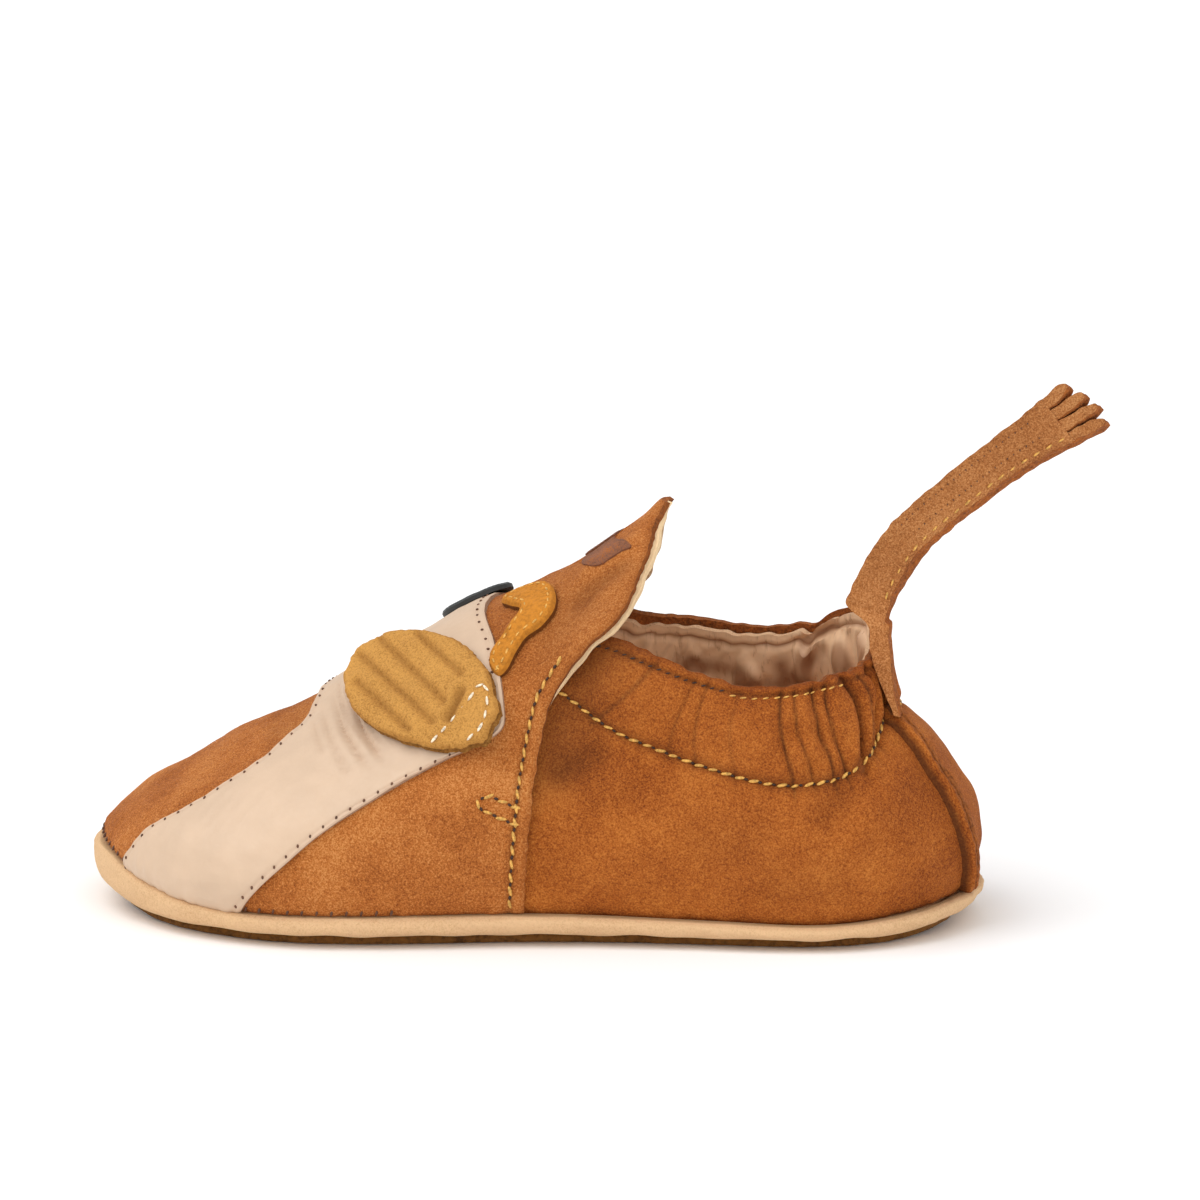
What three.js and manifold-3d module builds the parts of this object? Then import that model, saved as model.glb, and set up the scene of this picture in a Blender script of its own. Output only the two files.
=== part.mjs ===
// Toddler's soft leather slipper with an animal face, left shoe.
// Millimetres, +Z up, toe towards -X, outer side towards -Y, origin on the floor under the middle of the sole.

import * as THREE from 'three';
import Module from 'manifold-3d';

const wasm = await Module();
wasm.setup();

// Driving sizes of the last
const soleLength = 131;
const ballWidth = 59;
const waistWidth = 50;
const heelWidth = 48;
const instepHeight = 47;
const flapHeight = 60;
const collarHeight = 45;
const toeSeamHeight = 9.3;
const toeSpring = 1.8;
const heelSpring = 2.2;
const toeLean = 4;
const archInset = 2;
const archRise = 0.4;
const toeRiseStart = 0.72;
const heelRiseStart = 0.77;

// Leather thicknesses and steps
const wall = 2;
const vampStep = 1;
const vampSeat = 0.8;
const flapThickness = 1.6;
const flapLift = 2.4;
const casingDepth = 12;
const casingPuff = 1;
const outsoleThickness = 1.2;
const soleThickness = 1.4;
const insoleThickness = 1.2;
const bandProud = 1.6;
const outsoleInset = 2.4;
const insoleClearance = 0.9;
const gap = 0.3;

// Sewn-on pieces
const overlayThickness = 0.6;
const earLength = 27.8;
const earWidth = 17;
const earThickness = 1.5;
const earLift = 0.8;
const hornLength = 17;
const hornThickness = 1;
const patchLength = 11;
const patchWidth = 9;
const patchThickness = 0.6;
const forelockThickness = 0.6;
const seamWidth = 2.4;
const seamHeight = 2;
const tailWidth = 6;
const tailThickness = 2.4;
const tailStand = 1.3;
const tailReach = 27.5;
const tailRise = 28;
const tuftLength = 5.4;
const tuftStrips = 4;
const slitWidth = 0.5;
const tuftSpread = 0.12;
const tuftReaches = [0.75, 0.95, 1.05, 0.95];

// Places of the ears, horns and dark patch: along in shares of half the sole length, rise in shares of the instep
// height. stand is how far an ear stays flat where the vamp curves away, 1 for quite flat; the ear on the inner
// side lies down on the vamp.
const earTilt = 146;
const earPlaces = {
  left: { along: -0.193, rise: 0.717, stand: 1 },
  right: { along: -0.193, rise: 0.64, stand: 0 },
};
const hornPlaces = {
  left: { along: 0.018, rise: 0.93 },
  right: { along: 0.018, rise: 0.83 },
};
const patchPlace = { along: -0.14, rise: 0.885 };
const flapSkew = 2.2;
const skewStart = 0.6;
const cutterReach = 12;

const halfLength = soleLength / 2;

// Level outlines of the last. rise is a share of the instep height, or for the flap rows of the height from
// instep to flap tip; toe, ball, heel and back are places along the sole in shares of half its length; vamp is
// where the vamp's rear edge crosses the level; the three widths are shares of the named widths.
const levelColumns = ['rise', 'toe', 'ball', 'heel', 'back', 'vamp', 'ballShare', 'waistShare', 'heelShare'];
const lastLevels = [
  [0.04, -0.985, -0.44, 0.55, 0.945, 0.03, 0.97, 0.97, 0.94],
  [0.13, -1, -0.44, 0.55, 0.96, 0.035, 0.99, 0.99, 0.97],
  [0.21, -0.985, -0.44, 0.55, 0.975, 0.04, 1, 1.02, 1.01],
  [0.29, -0.925, -0.42, 0.55, 0.975, 0.045, 0.99, 1.03, 1.02],
  [0.37, -0.84, -0.36, 0.54, 0.96, 0.05, 0.96, 1.01, 1],
  [0.455, -0.725, -0.25, 0.53, 0.922, 0.055, 0.9, 0.97, 0.96],
  [0.54, -0.618, -0.14, 0.51, 0.873, 0.062, 0.815, 0.92, 0.91],
  [0.647, -0.465, 0, 0.49, 0.805, 0.075, 0.75, 0.86, 0.82],
  [0.755, -0.325, 0.1, 0.48, 0.775, 0.1, 0.7, 0.8, 0.745],
  [0.866, -0.19, 0.19, 0.48, 0.758, 0.162, 0.64, 0.74, 0.71],
  [0.947, -0.083, 0.25, 0.48, 0.758, 0.228, 0.57, 0.68, 0.69],
  [1, 0.005, 0.29, 0.48, 0.758, 0.25, 0.49, 0.6, 0.68],
];
const flapLevels = [
  [0.28, 0.115, 0.33, 0.48, 0.758, 0.268, 0.4, 0.5, 0.68],
  [0.5, 0.19, 0.36, 0.48, 0.758, 0.28, 0.32, 0.45, 0.68],
  [0.68, 0.24, 0.38, 0.48, 0.758, 0.284, 0.25, 0.4, 0.68],
  [1, 0.29, 0.41, 0.48, 0.758, 0.3, 0.16, 0.3, 0.68],
];

// Line where the upper meets the sole, and the collar's rim: along in shares of half the sole length, rise in
// shares of the seam's height at the toe, outer and inner in shares of the collar height.
const seamLine = [
  { along: -1, rise: 1 },
  { along: -0.93, rise: 0.945 },
  { along: -0.87, rise: 0.84 },
  { along: -0.8, rise: 0.7 },
  { along: -0.7, rise: 0.56 },
  { along: -0.55, rise: 0.495 },
  { along: 0, rise: 0.505 },
  { along: 0.45, rise: 0.43 },
  { along: 0.7, rise: 0.4 },
  { along: 0.87, rise: 0.495 },
  { along: 1, rise: 0.625 },
];
const rimLine = [
  { along: -0.1, outer: 0.975, inner: 0.95 },
  { along: 0.08, outer: 0.98, inner: 0.93 },
  { along: 0.22, outer: 0.965, inner: 0.885 },
  { along: 0.31, outer: 0.915, inner: 0.875 },
  { along: 0.42, outer: 0.85, inner: 0.855 },
  { along: 0.51, outer: 0.818, inner: 0.848 },
  { along: 0.62, outer: 0.825, inner: 0.85 },
  { along: 0.7, outer: 0.865, inner: 0.885 },
  { along: 0.74, outer: 0.925, inner: 0.935 },
  { along: 0.77, outer: 1, inner: 1 },
];

// How far in front of its rear edge the vamp is free of the quarter, and how much it lifts there: rise in
// shares of the flap height, strip and lift in shares of the two named sizes.
const freeStrip = 7;
const freeLine = [
  { rise: 0.36, strip: 0.02, lift: 0 },
  { rise: 0.45, strip: 0.4, lift: 0.2 },
  { rise: 0.57, strip: 0.8, lift: 0.6 },
  { rise: 0.68, strip: 1.1, lift: 1 },
  { rise: 0.8, strip: 1.6, lift: 0.7 },
  { rise: 1, strip: 1.6, lift: 0 },
];

// Side view of the pale overlay's two edges: rise in shares of the instep height, front and rear in shares of
// half the sole length.
const overlayEdges = [
  { rise: 0.05, front: -0.9, rear: -0.6 },
  { rise: 0.16, front: -0.88, rear: -0.545 },
  { rise: 0.27, front: -0.81, rear: -0.46 },
  { rise: 0.34, front: -0.73, rear: -0.4 },
  { rise: 0.45, front: -0.6, rear: -0.275 },
  { rise: 0.55, front: -0.515, rear: -0.145 },
  { rise: 0.62, front: -0.475, rear: -0.045 },
  { rise: 0.66, front: -0.475, rear: -0.012 },
  { rise: 0.72, front: -0.48, rear: -0.01 },
  { rise: 0.8, front: -0.48, rear: -0.022 },
  { rise: 0.88, front: -0.48, rear: -0.05 },
  { rise: 0.94, front: -0.48, rear: -0.095 },
  { rise: 1.05, front: -0.48, rear: -0.12 },
];

// Outline of the hooked horn in shares of its length, back towards the heel and up the vamp from its middle.
const hornOutline = [
  { back: -0.22, up: -0.5 },
  { back: -0.28, up: -0.31 },
  { back: -0.13, up: -0.04 },
  { back: -0.05, up: 0.13 },
  { back: -0.18, up: 0.24 },
  { back: -0.3, up: 0.37 },
  { back: -0.19, up: 0.5 },
  { back: 0.04, up: 0.5 },
  { back: 0.21, up: 0.34 },
  { back: 0.33, up: 0.02 },
  { back: 0.28, up: -0.14 },
  { back: 0.09, up: -0.25 },
  { back: -0.08, up: -0.49 },
];

// Side view of the forelock's leaf in shares of half the sole length and of the flap height.
const forelockOutline = [
  { along: 0.128, rise: 0.872 },
  { along: 0.175, rise: 0.895 },
  { along: 0.22, rise: 0.918 },
  { along: 0.245, rise: 0.91 },
  { along: 0.235, rise: 0.885 },
  { along: 0.19, rise: 0.867 },
  { along: 0.15, rise: 0.86 },
];

// The raised seam down the back: rise in shares of the collar height, aside in shares of the heel width from
// the middle of the back towards the outer side.
const backSeamLine = [
  { rise: 0.1, aside: 0.09 },
  { rise: 0.2, aside: 0.155 },
  { rise: 0.35, aside: 0.19 },
  { rise: 0.5, aside: 0.175 },
  { rise: 0.62, aside: 0.14 },
  { rise: 0.75, aside: 0.1 },
  { rise: 1, aside: 0.085 },
];

// Middle line of the tail above the collar: reach and rise in shares of the two named sizes, width in shares of
// the strap's width.
const tailLine = [
  { reach: 0, rise: 0, width: 1.03 },
  { reach: 0.06, rise: 0.144, width: 0.98 },
  { reach: 0.16, rise: 0.31, width: 0.95 },
  { reach: 0.27, rise: 0.443, width: 0.96 },
  { reach: 0.47, rise: 0.614, width: 1 },
  { reach: 0.72, rise: 0.81, width: 1.04 },
  { reach: 0.88, rise: 0.92, width: 1.16 },
  { reach: 1, rise: 1, width: 1.32 },
];

// Resolution
const ringColumns = 66;
const ringRows = 11;
const vampColumns = 32;
const vampRows = 15;
const soleStations = 26;
const arcSteps = 18;
const sideSteps = 14;

// Shape exponents of the round ends, 2 is an ellipse
const toeFullness = 1.95;
const heelFullness = 2.15;

const named = (columns, row) => Object.fromEntries(columns.map((column, i) => [column, row[i]]));
const levelRow = (from, to) => (values) => {
  const row = named(levelColumns, values);
  return { ...row, z: THREE.MathUtils.lerp(from, to, row.rise) };
};
const levels = [
  ...lastLevels.map(levelRow(0, instepHeight)),
  ...flapLevels.map(levelRow(instepHeight, flapHeight)),
];

// Reads one column of a table by a smooth curve through its rows.
function columnAt(rows, key, at, column) {
  const last = rows.length - 1;
  let i = 0;
  while (i < last - 1 && at > rows[i + 1][key]) {
    i += 1;
  }
  const slope = (k) => {
    const before = rows[Math.max(k - 1, 0)];
    const after = rows[Math.min(k + 1, last)];
    return (after[column] - before[column]) / (after[key] - before[key]);
  };
  const span = rows[i + 1][key] - rows[i][key];
  const t = THREE.MathUtils.clamp((at - rows[i][key]) / span, 0, 1);
  const t2 = t * t;
  const t3 = t2 * t;
  return (2 * t3 - 3 * t2 + 1) * rows[i][column]
    + (t3 - 2 * t2 + t) * span * slope(i)
    + (3 * t2 - 2 * t3) * rows[i + 1][column]
    + (t3 - t2) * span * slope(i + 1);
}

const smooth = (t) => THREE.MathUtils.smoothstep(t, 0, 1);

// Height of the underside above the floor: flat under ball and heel, raised at both ends.
function springAt(x) {
  const toeShare = Math.max(0, (-x / halfLength - toeRiseStart) / (1 - toeRiseStart));
  const heelShare = Math.max(0, (x / halfLength - heelRiseStart) / (1 - heelRiseStart));
  return toeSpring * toeShare ** 2 + heelSpring * heelShare ** 2;
}

const seamAt = (x) => toeSeamHeight * columnAt(seamLine, 'along', x / halfLength, 'rise');

// One side of the outline at a height, from the middle of the toe to the middle of the back.
// side is -1 for the outer half and 1 for the inner half.
function outlinePoint(side, z, station) {
  const read = (column) => columnAt(levels, 'z', z, column);
  const toe = read('toe') * halfLength;
  const ball = read('ball') * halfLength;
  const heel = read('heel') * halfLength;
  const back = read('back') * halfLength;
  const low = 1 - smooth(z / (archRise * instepHeight));
  const ballHalf = read('ballShare') * ballWidth / 2 * (1 - 0.02 * side);
  const waistHalf = read('waistShare') * waistWidth / 2 - (side > 0 ? archInset * low : 0);
  const heelHalf = read('heelShare') * heelWidth / 2;
  let x;
  let half;
  if (station < 1) {
    const angle = station * Math.PI / 2;
    x = ball - (ball - toe) * Math.cos(angle) ** (2 / toeFullness);
    half = ballHalf * Math.sin(angle) ** (2 / toeFullness);
  } else if (station < 2) {
    const t = station - 1;
    x = THREE.MathUtils.lerp(ball, heel, t);
    half = THREE.MathUtils.lerp(ballHalf, heelHalf, smooth(t))
      + (waistHalf - (ballHalf + heelHalf) / 2) * Math.sin(Math.PI * t) ** 2;
  } else {
    const angle = (3 - station) * Math.PI / 2;
    x = heel + (back - heel) * Math.max(Math.cos(angle), 0) ** (2 / heelFullness);
    half = heelHalf * Math.sin(angle) ** (2 / heelFullness);
  }
  const towardsToe = Math.max(0, (ball - x) / (ball - toe));
  const lean = toeLean * (1 - Math.min(z / instepHeight, 1)) * towardsToe ** 1.6;
  return new THREE.Vector2(x, side * half + lean);
}

const outlineCache = new Map();

function outlineAt(side, z) {
  const key = `${side} ${z.toFixed(4)}`;
  if (!outlineCache.has(key)) {
    const points = [];
    for (let i = 0; i < arcSteps; i += 1) {
      points.push(outlinePoint(side, z, i / arcSteps));
    }
    for (let i = 0; i < sideSteps; i += 1) {
      points.push(outlinePoint(side, z, 1 + i / sideSteps));
    }
    for (let i = 0; i <= arcSteps; i += 1) {
      points.push(outlinePoint(side, z, 2 + i / arcSteps));
    }
    const lengths = [0];
    for (let i = 1; i < points.length; i += 1) {
      lengths.push(lengths[i - 1] + points[i].distanceTo(points[i - 1]));
    }
    outlineCache.set(key, { points, lengths });
  }
  return outlineCache.get(key);
}

// Point on the last's outer face. around runs from -1 at the back over the outer side to 0 on the ridge and
// on over the inner side to 1 at the back, by length along the outline.
function lastPoint(around, z) {
  const side = around < 0 ? -1 : 1;
  const { points, lengths } = outlineAt(side, z);
  const wanted = Math.min(Math.abs(around), 1) * lengths[lengths.length - 1];
  let i = 1;
  while (i < lengths.length - 1 && lengths[i] < wanted) {
    i += 1;
  }
  const t = (wanted - lengths[i - 1]) / (lengths[i] - lengths[i - 1]);
  const p = points[i - 1].clone().lerp(points[i], t);
  return new THREE.Vector3(p.x, p.y, z);
}

function lastNormal(around, z) {
  const stepAround = 0.012;
  const stepUp = 0.6;
  const wrap = (a) => (a > 1 ? a - 2 : a < -1 ? a + 2 : a);
  const along = lastPoint(wrap(around + stepAround), z).sub(lastPoint(wrap(around - stepAround), z));
  const up = lastPoint(around, z + stepUp).sub(lastPoint(around, z - stepUp));
  return up.cross(along).normalize();
}

// Point at a distance outside the last's outer face, or inside it for a negative distance.
function skinPoint(around, z, outside) {
  return lastPoint(around, z).addScaledVector(lastNormal(around, z), outside);
}

// Share around the outline where a side crosses a place along the shoe.
function aroundAt(side, z, x) {
  const { points, lengths } = outlineAt(side, z);
  let i = 1;
  while (i < points.length - 1 && points[i].x < x) {
    i += 1;
  }
  const t = THREE.MathUtils.clamp((x - points[i - 1].x) / (points[i].x - points[i - 1].x), 0, 1);
  return side * THREE.MathUtils.lerp(lengths[i - 1], lengths[i], t) / lengths[lengths.length - 1];
}

// Height at which a line given along the shoe crosses a share around it.
function heightOn(lineAt, around, start) {
  let z = start;
  for (let i = 0; i < 40; i += 1) {
    z += 0.5 * (lineAt(lastPoint(around, z)) - z);
  }
  return z;
}

function rimAt(p) {
  const inward = smooth(0.5 + p.y / heelWidth);
  const read = (column) => columnAt(rimLine, 'along', p.x / halfLength, column);
  return collarHeight * THREE.MathUtils.lerp(read('outer'), read('inner'), inward);
}
const upperFoot = (around) => heightOn((p) => seamAt(p.x), around, seamAt(0)) + gap;
const upperRim = (around) => heightOn(rimAt, around, collarHeight);

// Turns points and triangles into a solid with its faces pointing out.
function solidOf(points, triangles) {
  const vertProperties = new Float32Array(points.flatMap((p) => [p.x, p.y, p.z]));
  let volume = 0;
  for (const [a, b, c] of triangles) {
    volume += points[a].dot(points[b].clone().cross(points[c]));
  }
  const outward = volume > 0 ? triangles : triangles.map(([a, b, c]) => [a, c, b]);
  return new wasm.Manifold(new wasm.Mesh({ numProp: 3, vertProperties, triVerts: new Uint32Array(outward.flat()) }));
}

// Solid between an outer and an inner grid of points, closed along all its edges. A looped grid has its last
// column next to its first.
function wallBetween(outer, inner, looped) {
  const rows = outer.length;
  const columns = outer[0].length;
  const points = [...outer.flat(), ...inner.flat()];
  const innerStart = rows * columns;
  const triangles = [];
  const quad = (a, b, c, d) => triangles.push([a, b, c], [a, c, d]);
  const at = (layer, row, column) => layer * innerStart + row * columns + column % columns;
  const lastColumn = looped ? columns : columns - 1;
  for (let r = 0; r < rows - 1; r += 1) {
    for (let c = 0; c < lastColumn; c += 1) {
      quad(at(0, r, c), at(0, r + 1, c), at(0, r + 1, c + 1), at(0, r, c + 1));
      quad(at(1, r, c), at(1, r, c + 1), at(1, r + 1, c + 1), at(1, r + 1, c));
    }
  }
  for (let c = 0; c < lastColumn; c += 1) {
    quad(at(0, 0, c), at(0, 0, c + 1), at(1, 0, c + 1), at(1, 0, c));
    quad(at(0, rows - 1, c), at(1, rows - 1, c), at(1, rows - 1, c + 1), at(0, rows - 1, c + 1));
  }
  if (!looped) {
    for (let r = 0; r < rows - 1; r += 1) {
      quad(at(0, r, 0), at(1, r, 0), at(1, r + 1, 0), at(0, r + 1, 0));
      quad(at(0, r, columns - 1), at(0, r + 1, columns - 1), at(1, r + 1, columns - 1), at(1, r, columns - 1));
    }
  }
  return solidOf(points, triangles);
}

// Lining and quarter: one ring from the sole seam to the collar's rim, closed over the ridge in front. grown is
// a clearance added all round, for what is fitted to the ring.
function quarterRing(grown) {
  const outer = [];
  const inner = [];
  for (let r = 0; r <= ringRows; r += 1) {
    outer.push([]);
    inner.push([]);
    for (let c = 0; c < ringColumns; c += 1) {
      const around = -1 + 2 * c / ringColumns;
      const foot = upperFoot(around);
      const rim = upperRim(around);
      const z = THREE.MathUtils.lerp(foot, rim + grown, r / ringRows);
      const casing = THREE.MathUtils.clamp((z - rim + casingDepth) / casingDepth, 0, 1);
      const behindVamp = smooth((lastPoint(around, z).x - columnAt(levels, 'z', z, 'vamp') * halfLength) / freeStrip);
      const puff = casingPuff * Math.sin(Math.PI * casing) * behindVamp;
      outer[r].push(skinPoint(around, z, puff + grown));
      inner[r].push(skinPoint(around, z, puff - wall - grown));
    }
  }
  return wallBetween(outer, inner, true);
}

// Where the vamp's rear edge crosses a height, a little further forward on the inner side of the flap.
function vampEdge(side, z) {
  const share = THREE.MathUtils.clamp((z - skewStart * flapHeight) / ((1 - skewStart) * flapHeight), 0, 1);
  const skew = side > 0 ? flapSkew * Math.sin(Math.PI * share) : 0;
  return columnAt(levels, 'z', z, 'vamp') * halfLength - skew;
}

// Grid over the vamp and its throat flap at a distance outside the vamp's outer face. The columns run from the
// vamp's rear edge on the outer side over the ridge to its rear edge on the inner side. pointAt makes the point
// from a share around, a height, the lift there and the share by which the vamp is free of the quarter.
function vampGrid(pointAt) {
  const grid = [];
  const firstRise = 0.16 * flapHeight;
  for (let r = 0; r <= vampRows; r += 1) {
    grid.push([]);
    for (let c = 0; c <= vampColumns; c += 1) {
      const share = 2 * c / vampColumns - 1;
      const side = share < 0 ? -1 : 1;
      let z = THREE.MathUtils.lerp(firstRise, flapHeight, Math.max(r - 1, 0) / (vampRows - 1));
      const edgeX = vampEdge(side, z);
      const around = Math.abs(share) * aroundAt(side, z, edgeX);
      if (r === 0) {
        z = upperFoot(around);
      }
      const fromEdge = edgeX - lastPoint(around, z).x;
      const strip = freeStrip * columnAt(freeLine, 'rise', z / flapHeight, 'strip');
      const free = smooth(1 - fromEdge / strip);
      const lift = flapLift * columnAt(freeLine, 'rise', z / flapHeight, 'lift') * free;
      grid[r].push(pointAt(around, z, lift, free));
    }
  }
  return grid;
}

const overVamp = (outside) => vampGrid((around, z, lift) => skinPoint(around, z, vampStep + lift + outside));

// Layer that lies on the vamp between two distances from its outer face.
const vampLayer = (from, to) => wallBetween(overVamp(to), overVamp(from), false);

// Vamp leather with its throat flap, sewn down in front and free along its upper rear edge.
function vampWithFlap() {
  const under = vampGrid((around, z, lift, free) => {
    const sunk = THREE.MathUtils.lerp(-vampSeat, vampStep + lift - flapThickness, free);
    return skinPoint(around, z, sunk);
  });
  return wallBetween(overVamp(0), under, false);
}

// Solid between two copies of a flat closed outline, each point placed in space by its own function.
function prismBetween(outline, placeLow, placeHigh) {
  const contour = THREE.ShapeUtils.isClockWise(outline) ? [...outline].reverse() : outline;
  const count = contour.length;
  const points = [...contour.map(placeLow), ...contour.map(placeHigh)];
  const triangles = [];
  for (const [a, b, c] of THREE.ShapeUtils.triangulateShape(contour, [])) {
    triangles.push([a, c, b], [count + a, count + b, count + c]);
  }
  for (let i = 0; i < count; i += 1) {
    const j = (i + 1) % count;
    triangles.push([i, j, count + j], [i, count + j, count + i]);
  }
  return solidOf(points, triangles);
}

// Round outline through a few points.
function roundOutline(points, steps) {
  const curve = new THREE.CatmullRomCurve3(points.map((p) => new THREE.Vector3(p.x, p.y, 0)), true, 'centripetal');
  return curve.getPoints(steps).slice(0, -1).map((p) => new THREE.Vector2(p.x, p.y));
}

// Share around and height of a place given along the shoe and in shares of the instep height.
function placeOn(side, place) {
  const z = place.rise * instepHeight;
  return { around: aroundAt(side, z, place.along * halfLength), z };
}

// Frame on the vamp at a share around and a height: back towards the heel, up the vamp, and out.
function vampFrame({ around, z }) {
  const out = lastNormal(around, z);
  const back = new THREE.Vector3(1, 0, 0).addScaledVector(out, -out.x).normalize();
  const up = new THREE.Vector3().crossVectors(out, back);
  return { origin: lastPoint(around, z), out, back, up: up.z < 0 ? up.negate() : up };
}

const inFrame = (frame, p, out) => frame.origin.clone()
  .addScaledVector(frame.back, p.x)
  .addScaledVector(frame.up, p.y)
  .addScaledVector(frame.out, out);

// Prism square to the vamp through a closed outline drawn in a frame on it.
const prismOn = (frame, outline) => prismBetween(
  outline,
  (p) => inFrame(frame, p, -cutterReach),
  (p) => inFrame(frame, p, cutterReach),
);

// Prism across the shoe, or across part of it, through a closed outline drawn in the side view.
const prismAcross = (outline, from = -ballWidth, to = ballWidth) => prismBetween(
  outline,
  (p) => new THREE.Vector3(p.x, from, p.y),
  (p) => new THREE.Vector3(p.x, to, p.y),
);

// Side view of the pale overlay, grown along the shoe by a clearance.
function overlayOutline(grown) {
  const front = overlayEdges.map((row) => new THREE.Vector2(row.front * halfLength - grown, row.rise * instepHeight));
  const rear = overlayEdges.map((row) => new THREE.Vector2(row.rear * halfLength + grown, row.rise * instepHeight));
  return [...front, ...rear.reverse()];
}

const faceOverlay = () => vampLayer(gap, gap + overlayThickness).intersect(prismAcross(overlayOutline(0)));

// Room that the overlay takes, with its clearance, for the pieces sewn over its edges.
const overlayRoom = () => vampLayer(-gap, gap + overlayThickness + gap).intersect(prismAcross(overlayOutline(gap)));

// Height over a frame of the layer at a distance outside the vamp, at a frame's flat coordinates.
function layerOver(frame, p, start, outside) {
  const place = { around: start.around, z: start.z };
  const stepAround = 0.002;
  const stepUp = 0.1;
  const flat = (around, z) => {
    const rel = skinPoint(around, z, outside).sub(frame.origin);
    return new THREE.Vector2(rel.dot(frame.back), rel.dot(frame.up));
  };
  for (let i = 0; i < 12; i += 1) {
    const here = flat(place.around, place.z);
    const da = flat(place.around + stepAround, place.z).sub(here).divideScalar(stepAround);
    const dz = flat(place.around, place.z + stepUp).sub(here).divideScalar(stepUp);
    const miss = new THREE.Vector2(p.x, p.y).sub(here);
    const det = da.x * dz.y - da.y * dz.x;
    place.around += 0.7 * (miss.x * dz.y - miss.y * dz.x) / det;
    place.z += 0.7 * (da.x * miss.y - da.y * miss.x) / det;
  }
  return skinPoint(place.around, place.z, outside).sub(frame.origin).dot(frame.out);
}

// Oval ear over the overlay: its lower rear end lies on the vamp and its front top stays nearly flat, so that it
// stands off where the vamp curves away. grown is a clearance added all round.
function earSolid(name, side, grown = 0) {
  const start = placeOn(side, earPlaces[name]);
  const frame = vampFrame(start);
  const rings = 4;
  const spokes = 28;
  const seat = vampStep + gap + overlayThickness + gap;
  const tilt = THREE.MathUtils.degToRad(earTilt);
  const under = [];
  const over = [];
  for (let r = 0; r <= rings; r += 1) {
    under.push([]);
    over.push([]);
    for (let k = 0; k < spokes; k += 1) {
      const share = Math.max(r / rings, 0.02);
      const p = new THREE.Vector2((earLength / 2 + grown) * share, 0);
      p.rotateAround(new THREE.Vector2(), 2 * Math.PI * k / spokes);
      p.y *= (earWidth / 2 + grown) / (earLength / 2 + grown);
      p.rotateAround(new THREE.Vector2(), tilt);
      const skin = layerOver(frame, p, start, seat);
      const free = earPlaces[name].stand * smooth(0.5 + (p.y - p.x) / (0.64 * (earLength + earWidth)));
      const height = Math.max(THREE.MathUtils.lerp(skin, seat + earLift, free), skin);
      const edge = r === rings ? 0.3 * earThickness : 0;
      under[r].push(inFrame(frame, p, height + edge / 2 - grown));
      over[r].push(inFrame(frame, p, height + earThickness - edge + grown));
    }
  }
  return discBetween(over, under);
}

// Solid between two stacks of rings round a middle, the innermost ring closed by a fan.
function discBetween(over, under) {
  const rings = over.length;
  const spokes = over[0].length;
  const layer = rings * spokes;
  const points = [...over.flat(), ...under.flat()];
  const triangles = [];
  const at = (side, r, k) => side * layer + r * spokes + k % spokes;
  for (let k = 0; k < spokes; k += 1) {
    for (let r = 0; r < rings - 1; r += 1) {
      triangles.push([at(0, r, k), at(0, r + 1, k), at(0, r + 1, k + 1)], [at(0, r, k), at(0, r + 1, k + 1), at(0, r, k + 1)]);
      triangles.push([at(1, r, k), at(1, r + 1, k + 1), at(1, r + 1, k)], [at(1, r, k), at(1, r, k + 1), at(1, r + 1, k + 1)]);
    }
    const rim = rings - 1;
    triangles.push([at(0, rim, k), at(1, rim, k), at(1, rim, k + 1)], [at(0, rim, k), at(1, rim, k + 1), at(0, rim, k + 1)]);
    if (k > 0 && k < spokes - 1) {
      triangles.push([at(0, 0, 0), at(0, 0, k), at(0, 0, k + 1)], [at(1, 0, 0), at(1, 0, k + 1), at(1, 0, k)]);
    }
  }
  return solidOf(points, triangles);
}

function hornSolid(name, side, room, ear) {
  const frame = vampFrame(placeOn(side, hornPlaces[name]));
  const outline = roundOutline(hornOutline.map((p) => new THREE.Vector2(p.back * hornLength, p.up * hornLength)), 30);
  return vampLayer(gap, gap + hornThickness).intersect(prismOn(frame, outline)).subtract(room).subtract(ear);
}

// Dark patch lying across the rear end of the overlay, a little to the inner side of the ridge.
function patchSolid(room) {
  const frame = vampFrame(placeOn(1, patchPlace));
  const ellipse = new THREE.EllipseCurve(0, 0, patchLength / 2, patchWidth / 2);
  const outline = ellipse.getPoints(24).slice(0, -1);
  const top = gap + overlayThickness + gap + patchThickness;
  return vampLayer(gap, top).intersect(prismOn(frame, outline)).subtract(room);
}

function forelockSolid(side) {
  const outline = forelockOutline.map((p) => new THREE.Vector2(p.along * halfLength, p.rise * flapHeight));
  const half = prismAcross(roundOutline(outline, 20), 0, side * ballWidth);
  return vampLayer(gap, gap + forelockThickness).intersect(half);
}

// Share around of a place beside the middle of the back, on the outer side, by its distance along the leather.
function besideBack(z, aside) {
  const { lengths } = outlineAt(-1, z);
  return -1 + aside / lengths[lengths.length - 1];
}

const seamAside = (z) => columnAt(backSeamLine, 'rise', z / collarHeight, 'aside') * heelWidth;
const casingFoot = collarHeight - casingDepth - seamHeight;

// Two raw edges standing out of the back seam, from the sole seam to the foot of the tail.
function backSeamSolid() {
  const rows = 10;
  const outer = [];
  const inner = [];
  const foot = upperFoot(-1) + gap;
  for (let r = 0; r <= rows; r += 1) {
    const z = THREE.MathUtils.lerp(foot, casingFoot - seamHeight / 2, r / rows);
    const across = (share) => besideBack(z, seamAside(z) + share * seamWidth / 2);
    outer.push([-0.7, 0, 0.7].map((share) => skinPoint(across(share), z, gap + seamHeight)));
    inner.push([-1, 0, 1].map((share) => skinPoint(across(share), z, 0)));
  }
  return wallBetween(outer, inner, false).subtract(quarterRing(gap));
}

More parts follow.
